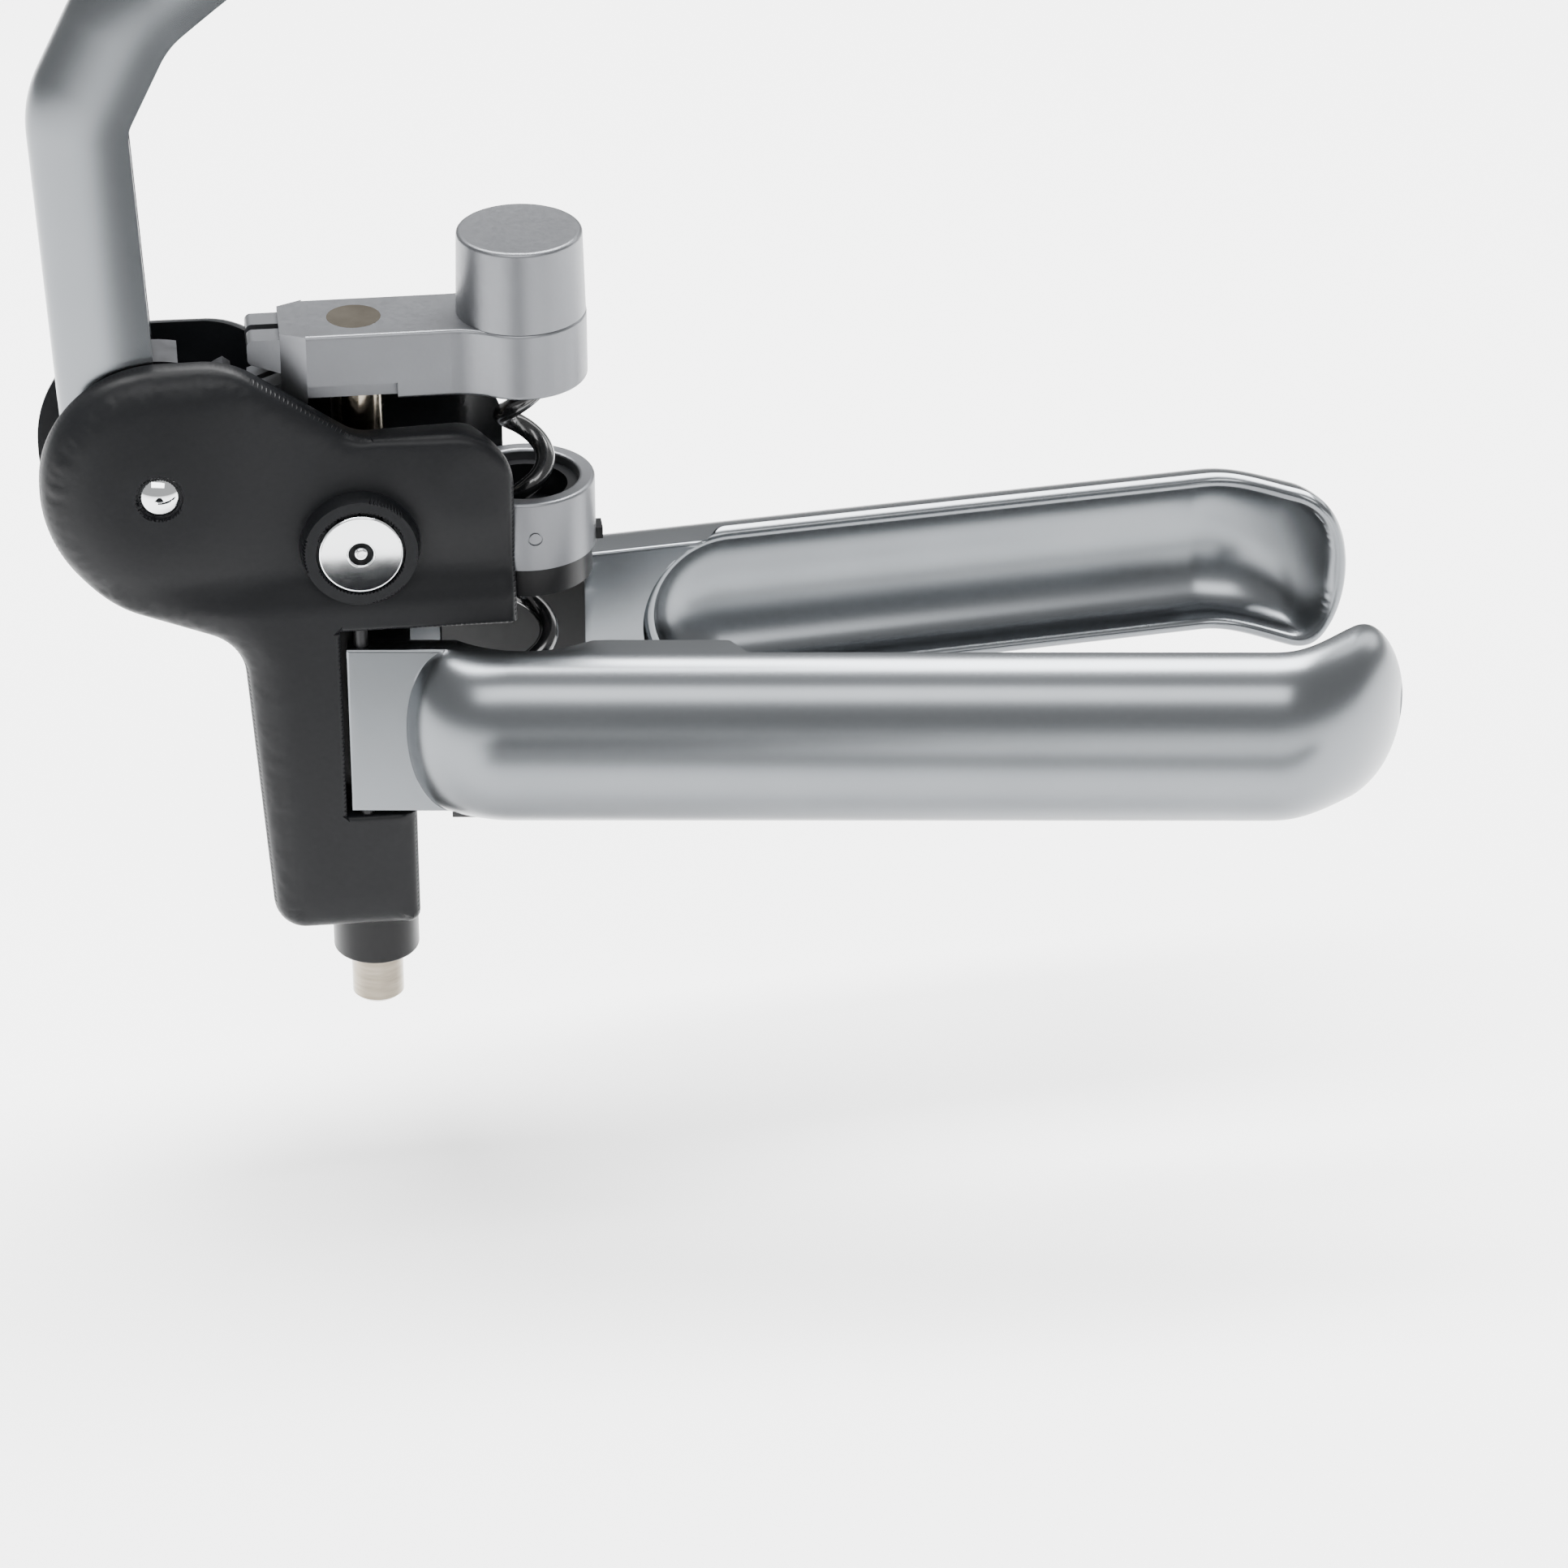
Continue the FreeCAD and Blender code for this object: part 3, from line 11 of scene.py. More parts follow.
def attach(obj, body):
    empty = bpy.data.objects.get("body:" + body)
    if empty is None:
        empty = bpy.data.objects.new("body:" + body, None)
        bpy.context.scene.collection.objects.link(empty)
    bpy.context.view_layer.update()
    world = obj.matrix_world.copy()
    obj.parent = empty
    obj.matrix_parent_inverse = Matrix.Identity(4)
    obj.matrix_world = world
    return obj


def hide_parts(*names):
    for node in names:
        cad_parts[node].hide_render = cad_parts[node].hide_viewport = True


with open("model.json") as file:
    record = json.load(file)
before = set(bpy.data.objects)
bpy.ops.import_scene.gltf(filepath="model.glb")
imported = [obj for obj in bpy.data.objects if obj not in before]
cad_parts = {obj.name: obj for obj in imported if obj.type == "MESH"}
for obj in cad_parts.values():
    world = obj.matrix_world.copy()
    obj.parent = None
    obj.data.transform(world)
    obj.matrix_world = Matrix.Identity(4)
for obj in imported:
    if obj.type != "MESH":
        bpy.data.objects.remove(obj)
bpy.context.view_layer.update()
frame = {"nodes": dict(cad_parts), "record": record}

# Lever corkscrew: matt black shells, a silver lever and grips, and a black worm.
# Metres, in the CAD model's frame: +Z up the worm's axis, +X towards the grips' tips, -Y the near side.

MM = 0.001
NODES = frame["nodes"]

# Camera at the photograph's place: a long lens that looks down over the near side

CAMERA_AZIMUTH = math.radians(6.75)
CAMERA_ELEVATION = math.radians(29.5)
CAMERA_LENS = 141.6
SENSOR_WIDTH = 36.0
IMAGE_WIDTH = 1932
# The top of the worm's front turn lies at this pixel, at this distance along the view
ANCHOR = Vector((0.3, 0.0, 33.0)) * MM
ANCHOR_PIXEL = (649, 583)
ANCHOR_DEPTH = 863.6 * MM


def place_camera():
    """The photograph's camera, set back from the anchor along the view."""
    forward = Vector(
        (
            math.sin(CAMERA_AZIMUTH) * math.cos(CAMERA_ELEVATION),
            math.cos(CAMERA_AZIMUTH) * math.cos(CAMERA_ELEVATION),
            -math.sin(CAMERA_ELEVATION),
        )
    )
    right = Vector((math.cos(CAMERA_AZIMUTH), -math.sin(CAMERA_AZIMUTH), 0.0))
    up = right.cross(forward)
    per_pixel = ANCHOR_DEPTH * SENSOR_WIDTH / CAMERA_LENS / IMAGE_WIDTH
    across = (ANCHOR_PIXEL[0] - IMAGE_WIDTH / 2) * per_pixel
    above = (IMAGE_WIDTH / 2 - ANCHOR_PIXEL[1]) * per_pixel
    lens = bpy.data.cameras.new("photo_camera")
    lens.lens = CAMERA_LENS
    lens.sensor_width = SENSOR_WIDTH
    lens.clip_start = 0.01
    lens.clip_end = 20.0
    camera = bpy.data.objects.new("photo_camera", lens)
    bpy.context.scene.collection.objects.link(camera)
    turned = Matrix((right, up, -forward)).transposed().to_4x4()
    turned.translation = ANCHOR - forward * ANCHOR_DEPTH - right * across - up * above
    camera.matrix_world = turned
    bpy.context.scene.camera = camera


place_camera()

# Studio: a white floor, two black cards for the metal to mirror, an even backdrop and three lamps

FLOOR_HEIGHT = -72 * MM
FLOOR_HALF = 3.0
CARD_LIFT = 1 * MM
# A sheet's left, right, back and front edge; both cards lie below the picture's lower edge
FLOOR_EDGES = (-FLOOR_HALF, FLOOR_HALF, FLOOR_HALF, -FLOOR_HALF)
GRIP_CARD = (-0.075, 0.25, -0.145, -0.2045)
LEVER_CARD = (-0.14, 0.01, -0.225, -0.75)
BACKDROP_STRENGTH = 0.66
LAMP_AIM = (0.03, 0.0, 0.03)
# Each lamp's name, place, size and power in watts
LAMPS = [
    ("overhead", (0.0, 0.3, 1.2), (1.5, 0.7), 98.0),
    ("front", (-0.15, -1.0, 0.95), (1.3, 0.5), 15.0),
    ("far_right", (1.0, 0.5, 0.6), (0.4, 0.8), 5.0),
]


def lay_sheet(name, edges, height, material):
    """A flat sheet of the studio, which isn't part of the object."""
    left, right, back, front = edges
    points = [(left, front, height), (right, front, height), (right, back, height), (left, back, height)]
    mesh = bpy.data.meshes.new(name)
    mesh.from_pydata(points, [], [(0, 1, 2, 3)])
    sheet = bpy.data.objects.new(name, mesh)
    bpy.context.scene.collection.objects.link(sheet)
    mesh.materials.append(material)


def lay_floor():
    """The floor with its two cards."""
    black_board = studio_sheet("black_board", "#101112")
    lay_sheet("floor", FLOOR_EDGES, FLOOR_HEIGHT, studio_sheet("white_board", "#fdfdfd"))
    lay_sheet("grip_card", GRIP_CARD, FLOOR_HEIGHT + CARD_LIFT, black_board)
    lay_sheet("lever_card", LEVER_CARD, FLOOR_HEIGHT + CARD_LIFT, black_board)


def soft_lamp(name, place, size, power):
    """A wide lamp that faces the object."""
    light = bpy.data.lights.new(name, "AREA")
    light.shape = "RECTANGLE"
    light.size = size[0]
    light.size_y = size[1]
    light.energy = power
    lamp = bpy.data.objects.new(name, light)
    bpy.context.scene.collection.objects.link(lamp)
    lamp.location = place
    lamp.rotation_mode = "QUATERNION"
    lamp.rotation_quaternion = (Vector(LAMP_AIM) - Vector(place)).to_track_quat("-Z", "Y")


def light_studio():
    """The even backdrop and the lamps."""
    world = bpy.data.worlds.new("studio")
    world.use_nodes = True
    background = world.node_tree.nodes["Background"]
    background.inputs["Color"].default_value = (1.0, 1.0, 1.0, 1.0)
    background.inputs["Strength"].default_value = BACKDROP_STRENGTH
    bpy.context.scene.world = world
    for name, place, size, power in LAMPS:
        soft_lamp(name, place, size, power)


# Materials


def shade(code):
    """An sRGB hex colour as the linear colour that a shader takes."""
    values = [int(code[start : start + 2], 16) / 255 for start in (1, 3, 5)]
    linear = [v / 12.92 if v <= 0.04045 else ((v + 0.055) / 1.055) ** 2.4 for v in values]
    return (*linear, 1.0)


def add(tree, kind, settings=None, **sockets):
    """A node with its settings, and each named socket given a value or the output it takes."""
    node = tree.nodes.new(kind)
    for name, value in (settings or {}).items():
        setattr(node, name, value)
    for name, value in sockets.items():
        socket = node.inputs[name.replace("_", " ")]
        if isinstance(value, bpy.types.NodeSocket):
            tree.links.new(value, socket)
        else:
            socket.default_value = value
    return node


def new_material(name):
    """An empty material, its node tree and the place of each point on the piece, in metres."""
    material = bpy.data.materials.new(name)
    material.use_nodes = True
    tree = material.node_tree
    tree.nodes.clear()
    place = add(tree, "ShaderNodeTexCoord").outputs["Object"]
    return material, tree, place


# A noise texture's lumps are about this share of its cell wide
LUMP_SHARE = 0.5


def lumps(size):
    """The noise scale at which lumps are about the given size in metres."""
    return LUMP_SHARE / size


def grained_black_plastic():
    """Glass-filled nylon from a spark-eroded mould: deep black with a fine, even, matt grain."""
    material, tree, place = new_material("grained_black_plastic")
    # The mould's grain is about 0.25 mm; it is drawn at 0.4 mm so that it shows
    grain = add(tree, "ShaderNodeTexNoise", Vector=place, Scale=lumps(0.4 * MM), Detail=3.0)
    cloud = add(tree, "ShaderNodeTexNoise", Vector=place, Scale=lumps(9 * MM), Detail=2.0)
    colour = add(
        tree,
        "ShaderNodeMixRGB",
        Fac=cloud.outputs["Fac"],
        Color1=shade("#0d0e10"),
        Color2=shade("#131416"),
    )
    roughness = add(tree, "ShaderNodeMapRange", Value=grain.outputs["Fac"], To_Min=0.34, To_Max=0.46)
    relief = add(tree, "ShaderNodeBump", Height=grain.outputs["Fac"], Distance=0.02 * MM)
    surface = add(
        tree,
        "ShaderNodeBsdfPrincipled",
        Base_Color=colour.outputs["Color"],
        Roughness=roughness.outputs["Result"],
        Normal=relief.outputs["Normal"],
        IOR=1.52,
        Specular_IOR_Level=0.14,
    )
    add(tree, "ShaderNodeOutputMaterial", Surface=surface.outputs["BSDF"])
    return material


def smooth_black_plastic():
    """Acetal from a polished mould: black with a soft satin shine."""
    material, tree, place = new_material("smooth_black_plastic")
    flow = add(tree, "ShaderNodeTexNoise", Vector=place, Scale=lumps(4 * MM), Detail=2.0)
    ripple = add(tree, "ShaderNodeTexNoise", Vector=place, Scale=lumps(0.8 * MM), Detail=2.0)
    colour = add(
        tree,
        "ShaderNodeMixRGB",
        Fac=flow.outputs["Fac"],
        Color1=shade("#0b0b0c"),
        Color2=shade("#111214"),
    )
    roughness = add(tree, "ShaderNodeMapRange", Value=flow.outputs["Fac"], To_Min=0.28, To_Max=0.40)
    relief = add(tree, "ShaderNodeBump", Height=ripple.outputs["Fac"], Distance=0.008 * MM)
    surface = add(
        tree,
        "ShaderNodeBsdfPrincipled",
        Base_Color=colour.outputs["Color"],
        Roughness=roughness.outputs["Result"],
        Normal=relief.outputs["Normal"],
        IOR=1.48,
        Specular_IOR_Level=0.2,
    )
    add(tree, "ShaderNodeOutputMaterial", Surface=surface.outputs["BSDF"])
    return material


def bearing_plastic():
    """Natural acetal, turned: an off-white with a soft, even shine."""
    material, tree, place = new_material("bearing_plastic")
    flow = add(tree, "ShaderNodeTexNoise", Vector=place, Scale=lumps(2 * MM), Detail=2.0)
    colour = add(
        tree,
        "ShaderNodeMixRGB",
        Fac=flow.outputs["Fac"],
        Color1=shade("#cfcbc0"),
        Color2=shade("#dbd8cf"),
    )
    roughness = add(tree, "ShaderNodeMapRange", Value=flow.outputs["Fac"], To_Min=0.36, To_Max=0.46)
    surface = add(
        tree,
        "ShaderNodeBsdfPrincipled",
        Base_Color=colour.outputs["Color"],
        Roughness=roughness.outputs["Result"],
        IOR=1.48,
    )
    add(tree, "ShaderNodeOutputMaterial", Surface=surface.outputs["BSDF"])
    return material


def pearl_silver():
    """Satin chrome on a zinc casting: grey silver with a soft, even glow and no visible grain."""
    material, tree, place = new_material("pearl_silver")
    # The plating's thickness varies slowly, over some 5 mm, so its grey is a little uneven
    cloud = add(tree, "ShaderNodeTexNoise", Vector=place, Scale=lumps(5 * MM), Detail=0.0)
    colour = add(
        tree,
        "ShaderNodeMixRGB",
        Fac=cloud.outputs["Fac"],
        Color1=shade("#6c6f72"),
        Color2=shade("#717477"),
    )
    surface = add(
        tree,
        "ShaderNodeBsdfPrincipled",
        Base_Color=colour.outputs["Color"],
        Metallic=1.0,
        Roughness=0.27,
    )
    add(tree, "ShaderNodeOutputMaterial", Surface=surface.outputs["BSDF"])
    return material


def satin_casting():
    """Bead-blasted, nickel-plated zinc: pale grey metal with a fine sparkling grain."""
    material, tree, place = new_material("satin_casting")
    # Blasting beads leave dimples of about 0.15 mm; they are drawn at 0.3 mm so that they show
    dimples = add(tree, "ShaderNodeTexNoise", Vector=place, Scale=lumps(0.3 * MM), Detail=3.0)
    cloud = add(tree, "ShaderNodeTexNoise", Vector=place, Scale=lumps(6 * MM), Detail=2.0)
    colour = add(
        tree,
        "ShaderNodeMixRGB",
        Fac=cloud.outputs["Fac"],
        Color1=shade("#6b6c6f"),
        Color2=shade("#747679"),
    )
    roughness = add(tree, "ShaderNodeMapRange", Value=dimples.outputs["Fac"], To_Min=0.34, To_Max=0.46)
    relief = add(tree, "ShaderNodeBump", Height=dimples.outputs["Fac"], Distance=0.012 * MM)
    surface = add(
        tree,
        "ShaderNodeBsdfPrincipled",
        Base_Color=colour.outputs["Color"],
        Metallic=1.0,
        Roughness=roughness.outputs["Result"],
        Normal=relief.outputs["Normal"],
    )
    add(tree, "ShaderNodeOutputMaterial", Surface=surface.outputs["BSDF"])
    return material


def polished_rod():
    """Ground and polished steel: near mirror, with fine lines round the rod."""
    material, tree, place = new_material("polished_rod")
    stretched = add(tree, "ShaderNodeMapping", Vector=place, Scale=(1.0, 1.0, 12.0))
    along = stretched.outputs["Vector"]
    lines = add(tree, "ShaderNodeTexNoise", Vector=along, Scale=lumps(2.5 * MM), Detail=4.0)
    colour = add(
        tree,
        "ShaderNodeMixRGB",
        Fac=lines.outputs["Fac"],
        Color1=shade("#6f6658"),
        Color2=shade("#a1998b"),
    )
    roughness = add(tree, "ShaderNodeMapRange", Value=lines.outputs["Fac"], To_Min=0.10, To_Max=0.20)
    relief = add(tree, "ShaderNodeBump", Height=lines.outputs["Fac"], Distance=0.004 * MM)
    surface = add(
        tree,
        "ShaderNodeBsdfPrincipled",
        Base_Color=colour.outputs["Color"],
        Metallic=1.0,
        Roughness=roughness.outputs["Result"],
        Normal=relief.outputs["Normal"],
    )
    add(tree, "ShaderNodeOutputMaterial", Surface=surface.outputs["BSDF"])
    return material


def mirror_chrome():
    """Polished chrome: a clean mirror with only the faintest haze."""
    material, tree, place = new_material("mirror_chrome")
    haze = add(tree, "ShaderNodeTexNoise", Vector=place, Scale=lumps(1.5 * MM), Detail=2.0)
    colour = add(
        tree,
        "ShaderNodeMixRGB",
        Fac=haze.outputs["Fac"],
        Color1=shade("#d5d7d9"),
        Color2=shade("#dfe1e2"),
    )
    roughness = add(tree, "ShaderNodeMapRange", Value=haze.outputs["Fac"], To_Min=0.03, To_Max=0.06)
    surface = add(
        tree,
        "ShaderNodeBsdfPrincipled",
        Base_Color=colour.outputs["Color"],
        Metallic=1.0,
        Roughness=roughness.outputs["Result"],
    )
    add(tree, "ShaderNodeOutputMaterial", Surface=surface.outputs["BSDF"])
    return material


def dark_steel():
    """Oiled steel, stamped: dark grey with a dull shine and faint smears."""
    material, tree, place = new_material("dark_steel")
    smears = add(tree, "ShaderNodeTexNoise", Vector=place, Scale=lumps(1.2 * MM), Detail=4.0)
    colour = add(
        tree,
        "ShaderNodeMixRGB",
        Fac=smears.outputs["Fac"],
        Color1=shade("#4b4c4e"),
        Color2=shade("#626366"),
    )
    roughness = add(tree, "ShaderNodeMapRange", Value=smears.outputs["Fac"], To_Min=0.30, To_Max=0.48)
    relief = add(tree, "ShaderNodeBump", Height=smears.outputs["Fac"], Distance=0.006 * MM)
    surface = add(
        tree,
        "ShaderNodeBsdfPrincipled",
        Base_Color=colour.outputs["Color"],
        Metallic=1.0,
        Roughness=roughness.outputs["Result"],
        Normal=relief.outputs["Normal"],
    )
    add(tree, "ShaderNodeOutputMaterial", Surface=surface.outputs["BSDF"])
    return material


def blackened_steel():
    """Chemically blackened pins: near black with a low metal shine."""
    material, tree, place = new_material("blackened_steel")
    smears = add(tree, "ShaderNodeTexNoise", Vector=place, Scale=lumps(0.8 * MM), Detail=3.0)
    colour = add(
        tree,
        "ShaderNodeMixRGB",
        Fac=smears.outputs["Fac"],
        Color1=shade("#1d1d1e"),
        Color2=shade("#29292b"),
    )
    roughness = add(tree, "ShaderNodeMapRange", Value=smears.outputs["Fac"], To_Min=0.35, To_Max=0.5)
    surface = add(
        tree,
        "ShaderNodeBsdfPrincipled",
        Base_Color=colour.outputs["Color"],
        Metallic=0.7,
        Roughness=roughness.outputs["Result"],
    )
    add(tree, "ShaderNodeOutputMaterial", Surface=surface.outputs["BSDF"])
    return material


def worm_coating():
    """Baked non-stick coat over steel wire: gloss black with sharp highlights."""
    material, tree, place = new_material("worm_coating")
    flow = add(tree, "ShaderNodeTexNoise", Vector=place, Scale=lumps(0.7 * MM), Detail=3.0)
    colour = add(
        tree,
        "ShaderNodeMixRGB",
        Fac=flow.outputs["Fac"],
        Color1=shade("#0e0f10"),
        Color2=shade("#161718"),
    )
    roughness = add(tree, "ShaderNodeMapRange", Value=flow.outputs["Fac"], To_Min=0.16, To_Max=0.26)
    relief = add(tree, "ShaderNodeBump", Height=flow.outputs["Fac"], Distance=0.006 * MM)
    surface = add(
        tree,
        "ShaderNodeBsdfPrincipled",
        Base_Color=colour.outputs["Color"],
        Roughness=roughness.outputs["Result"],
        Normal=relief.outputs["Normal"],
        IOR=1.5,
        Coat_Weight=0.5,
        Coat_Roughness=0.08,
    )
    add(tree, "ShaderNodeOutputMaterial", Surface=surface.outputs["BSDF"])
    return material


def jaw_rubber():
    """Moulded nitrile rubber: black, dull and slightly dusty."""
    material, tree, place = new_material("jaw_rubber")
    dust = add(tree, "ShaderNodeTexNoise", Vector=place, Scale=lumps(0.6 * MM), Detail=4.0)
    colour = add(
        tree,
        "ShaderNodeMixRGB",
        Fac=dust.outputs["Fac"],
        Color1=shade("#19191a"),
        Color2=shade("#242425"),
    )
    roughness = add(tree, "ShaderNodeMapRange", Value=dust.outputs["Fac"], To_Min=0.68, To_Max=0.85)
    relief = add(tree, "ShaderNodeBump", Height=dust.outputs["Fac"], Distance=0.015 * MM)
    surface = add(
        tree,
        "ShaderNodeBsdfPrincipled",
        Base_Color=colour.outputs["Color"],
        Roughness=roughness.outputs["Result"],
        Normal=relief.outputs["Normal"],
        IOR=1.52,
    )
    add(tree, "ShaderNodeOutputMaterial", Surface=surface.outputs["BSDF"])
    return material


def studio_sheet(name, code):
    """Matt painted board, plain."""
    material, tree, _ = new_material(name)
    surface = add(
        tree,
        "ShaderNodeBsdfPrincipled",
        Base_Color=shade(code),
        Roughness=0.9,
        Specular_IOR_Level=0.0,
    )
    add(tree, "ShaderNodeOutputMaterial", Surface=surface.outputs["BSDF"])
    return material


FINISHES = {
    "cover_plastic": grained_black_plastic(),
    "frame_plastic": smooth_black_plastic(),
    "bushing_plastic": bearing_plastic(),
    "rod_steel": polished_rod(),
    "satin_metal": satin_casting(),
    "dark_steel": dark_steel(),
    "black_steel": blackened_steel(),
    "worm_coat": worm_coating(),
    "mirror_chrome": mirror_chrome(),
    "pearl_silver": pearl_silver(),
    "jaw_rubber": jaw_rubber(),
}


def finish_cad_nodes():
    """Every CAD node takes the finish of its slot in the record."""
    for part in frame["record"]["subparts"]:
        node = NODES[part["node"]]
        node.data.materials.clear()
        node.data.materials.append(FINISHES[part["material_slot"]])


# Pieces: meshes built in millimetres, each with its place in its vertices

WELD = 0.004
SHARP_ANGLE = math.radians(38)
# Keeps a division away from nought
TINY = 1e-6


def make_piece(name, points, faces, body, slot, replaced):
    """A closed, smooth-shaded piece that stands for CAD nodes and moves with their body."""
    mesh = bpy.data.meshes.new(name)
    mesh.from_pydata([tuple(value * MM for value in point) for point in points], [], faces)
    work = bmesh.new()
    work.from_mesh(mesh)
    bmesh.ops.remove_doubles(work, verts=work.verts, dist=WELD * MM)
    bmesh.ops.recalc_face_normals(work, faces=work.faces)
    work.to_mesh(mesh)
    work.free()
    for face in mesh.polygons:
        face.use_smooth = True
    mesh.set_sharp_from_angle(angle=SHARP_ANGLE)
    mesh.materials.append(FINISHES[slot])
    piece = bpy.data.objects.new(name, mesh)
    bpy.context.scene.collection.objects.link(piece)
    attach(piece, body)
    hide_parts(*replaced)
    return piece


# Covers: moulded shells whose faces fall off softly towards their outline

COVER_INNER = 6.6
COVER_OUTER = 12.2
NOTCH_TOP = 15.8
NOTCH_BOTTOM = -13.9
# Each corner of the outline: its place, its rounding, and how far and how wide the face falls
# off along the edge that follows it
COVER_CORNERS = [
    (-67.4, 55.9, 17.4, 4.2, 5.5),
    (-67.4, 23.6, 20.5, 4.2, 5.5),
    (-40.6, 13.1, 7.5, 4.2, 5.0),
    (-37.6, -33.1, 4.5, 4.2, 4.5),
    (-17.1, -33.1, 2.4, 2.0, 2.5),
    (-17.1, NOTCH_BOTTOM, 0.0, 0.4, 0.6),
    (-27.1, NOTCH_BOTTOM, 0.0, 0.4, 0.6),
    (-27.1, NOTCH_TOP, 0.0, 0.4, 0.6),
    (-2.3, NOTCH_TOP, 0.0, 1.2, 1.6),
    (-2.3, 45.0, 8.0, 1.4, 2.0),
    (-23.8, 44.2, 6.0, 2.6, 3.2),
    (-40.6, 55.9, 12.0, 4.0, 5.0),
]
# The face dips round the boss, below the swollen lobe and the front of the nose
LOBE_PLACE = (-51.5, 36.5)
LOBE_FLAT_RADIUS = 5.0
LOBE_RADIUS = 24.0
NOSE_PLACE = (-8.0, 37.0)
NOSE_FLAT_RADIUS = 3.0
NOSE_RADIUS = 15.0
NOSE_SHARE = 0.7
FACE_DIP = 1.7
# The dip fades out downwards between these heights, so that the hinge pins stay covered
DIP_FOOT = 19.0
DIP_RISE = 6.0
# The fall is smoothed away from the outline
SMOOTHED_FROM = 1.2
SMOOTHING_ROUNDS = 14
LEAST_WALL = 0.1
# The mesh's spacing, its rings inside the outline, and the room that its points keep
OUTLINE_STEP = 0.7
FACE_STEP = 0.8
CIRCLE_STEP = FACE_STEP / 1.5
FIELD_ROOM = FACE_STEP / 3
EDGE_RINGS = (0.1, 0.25, 0.45, 0.7, 1.0, 1.4, 1.9, 2.5, 3.2)
RING_ROOM_SHARE = 0.9
MERGE_DISTANCE = 1e-5
# Blender's number for a triangulation that is kept only inside the border
INSIDE_ONLY = 1
DISC_PLACE = (-23.8, 28.4)
DISC_RECESS_RADIUS = 6.15
DISC_RECESS_DEPTH = 0.6
BOSS_RADIUS = 8.4
BOSS_RISE = 0.8
BOSS_FALL = 0.5
DOME_PLACE = (-51.0, 38.0)
DOME_RECESS_RADIUS = 3.2
DOME_RECESS_DEPTH = 0.5
SCREW_PLACES = [(-42.8, 18.4), (-32.4, -24.0), (-13.6, 26.5)]
SCREW_RECESS_RADIUS = 2.35
SCREW_RECESS_DEPTH = 1.5
RING_HOLLOW_RADIUS = 10.3
# The mesh's rings at each round feature's edge, measured outwards from a recess, inwards from the boss
RECESS_RINGS = (-0.05, 0.05, 0.3)
BOSS_RINGS = (0.0, 0.25, 0.5, 0.75, 1.0)
SCREW_RINGS = (-0.05, 0.05)


def outline_of(corners, step):
    """Points along a closed outline with rounded corners, each with its fall and its fall's width.

    Each point also gets the number of the corner whose rounding or run it ends.
    """
    places = [Vector(corner[:2]) for corner in corners]
    arcs = []
    for index, corner in enumerate(corners):
        here = places[index]
        towards = (places[index - 1] - here).normalized()
        onwards = (places[(index + 1) % len(corners)] - here).normalized()
        before = Vector(corners[index - 1][3:])
        after = Vector(corner[3:])
        radius = corner[2]
        if not radius:
            arcs.append([(*here, *before)])
            continue
        half_turn = towards.angle(onwards) / 2
        first = here + towards * (radius / math.tan(half_turn))
        last = here + onwards * (radius / math.tan(half_turn))
        centre = here + (towards + onwards).normalized() * (radius / math.sin(half_turn))
        count = max(2, math.ceil(radius * (math.pi - 2 * half_turn) / step))
        bearing = math.atan2(first.y - centre.y, first.x - centre.x)
        sweep = math.atan2(last.y - centre.y, last.x - centre.x) - bearing
        sweep = math.remainder(sweep, 2 * math.pi)
        arc = []
        for turn in range(count + 1):
            share = turn / count
            aim = bearing + sweep * share
            place = centre + Vector((math.cos(aim), math.sin(aim))) * radius
            arc.append((*place, *before.lerp(after, share)))
        arcs.append(arc)
    line, owners = [], []
    for index, arc in enumerate(arcs):
        start, end = Vector(arcs[index - 1][-1][:2]), Vector(arc[0][:2])
        count = math.ceil((end - start).length / step)
        run = [(*start.lerp(end, turn / count), *arc[0][2:]) for turn in range(1, count)]
        line += run + arc
        owners += [(index - 1) % len(corners)] * (len(run) + 1) + [index] * (len(arc) - 1)
    return np.array(line), np.array(owners)


def nearest_on_edge(spots, starts, ends):
    """The distance from each spot to a chain of segments, and the number of the nearest one."""
    runs = ends - starts
    lengths = np.maximum((runs**2).sum(1), TINY**2)
    offsets = spots[:, None, :] - starts[None, :, :]
    shares = np.clip((offsets * runs).sum(2) / lengths, 0, 1)
    gaps = np.linalg.norm(offsets - shares[:, :, None] * runs, axis=2)
    nearest = gaps.argmin(1)
    return gaps[np.arange(len(spots)), nearest], nearest


def inside_outline(spots, line):
    """Which spots lie inside a closed outline, by counting the edges to one side of each."""
    starts, ends = line[:, :2], np.roll(line[:, :2], -1, axis=0)
    x, z = spots[:, 0, None], spots[:, 1, None]
    crossing = (starts[:, 1] > z) != (ends[:, 1] > z)
    rise = np.where(ends[:, 1] == starts[:, 1], 1.0, ends[:, 1] - starts[:, 1])
    where = starts[:, 0] + (z - starts[:, 1]) / rise * (ends[:, 0] - starts[:, 0])
    return (crossing & (x < where)).sum(1) % 2 == 1


def ring_of(place, radius, step):
    """Points round a circle, at most a step apart."""
    count = math.ceil(2 * math.pi * radius / step)
    turns = np.arange(count) / count * 2 * math.pi
    return np.array(place) + radius * np.stack([np.cos(turns), np.sin(turns)], axis=1)


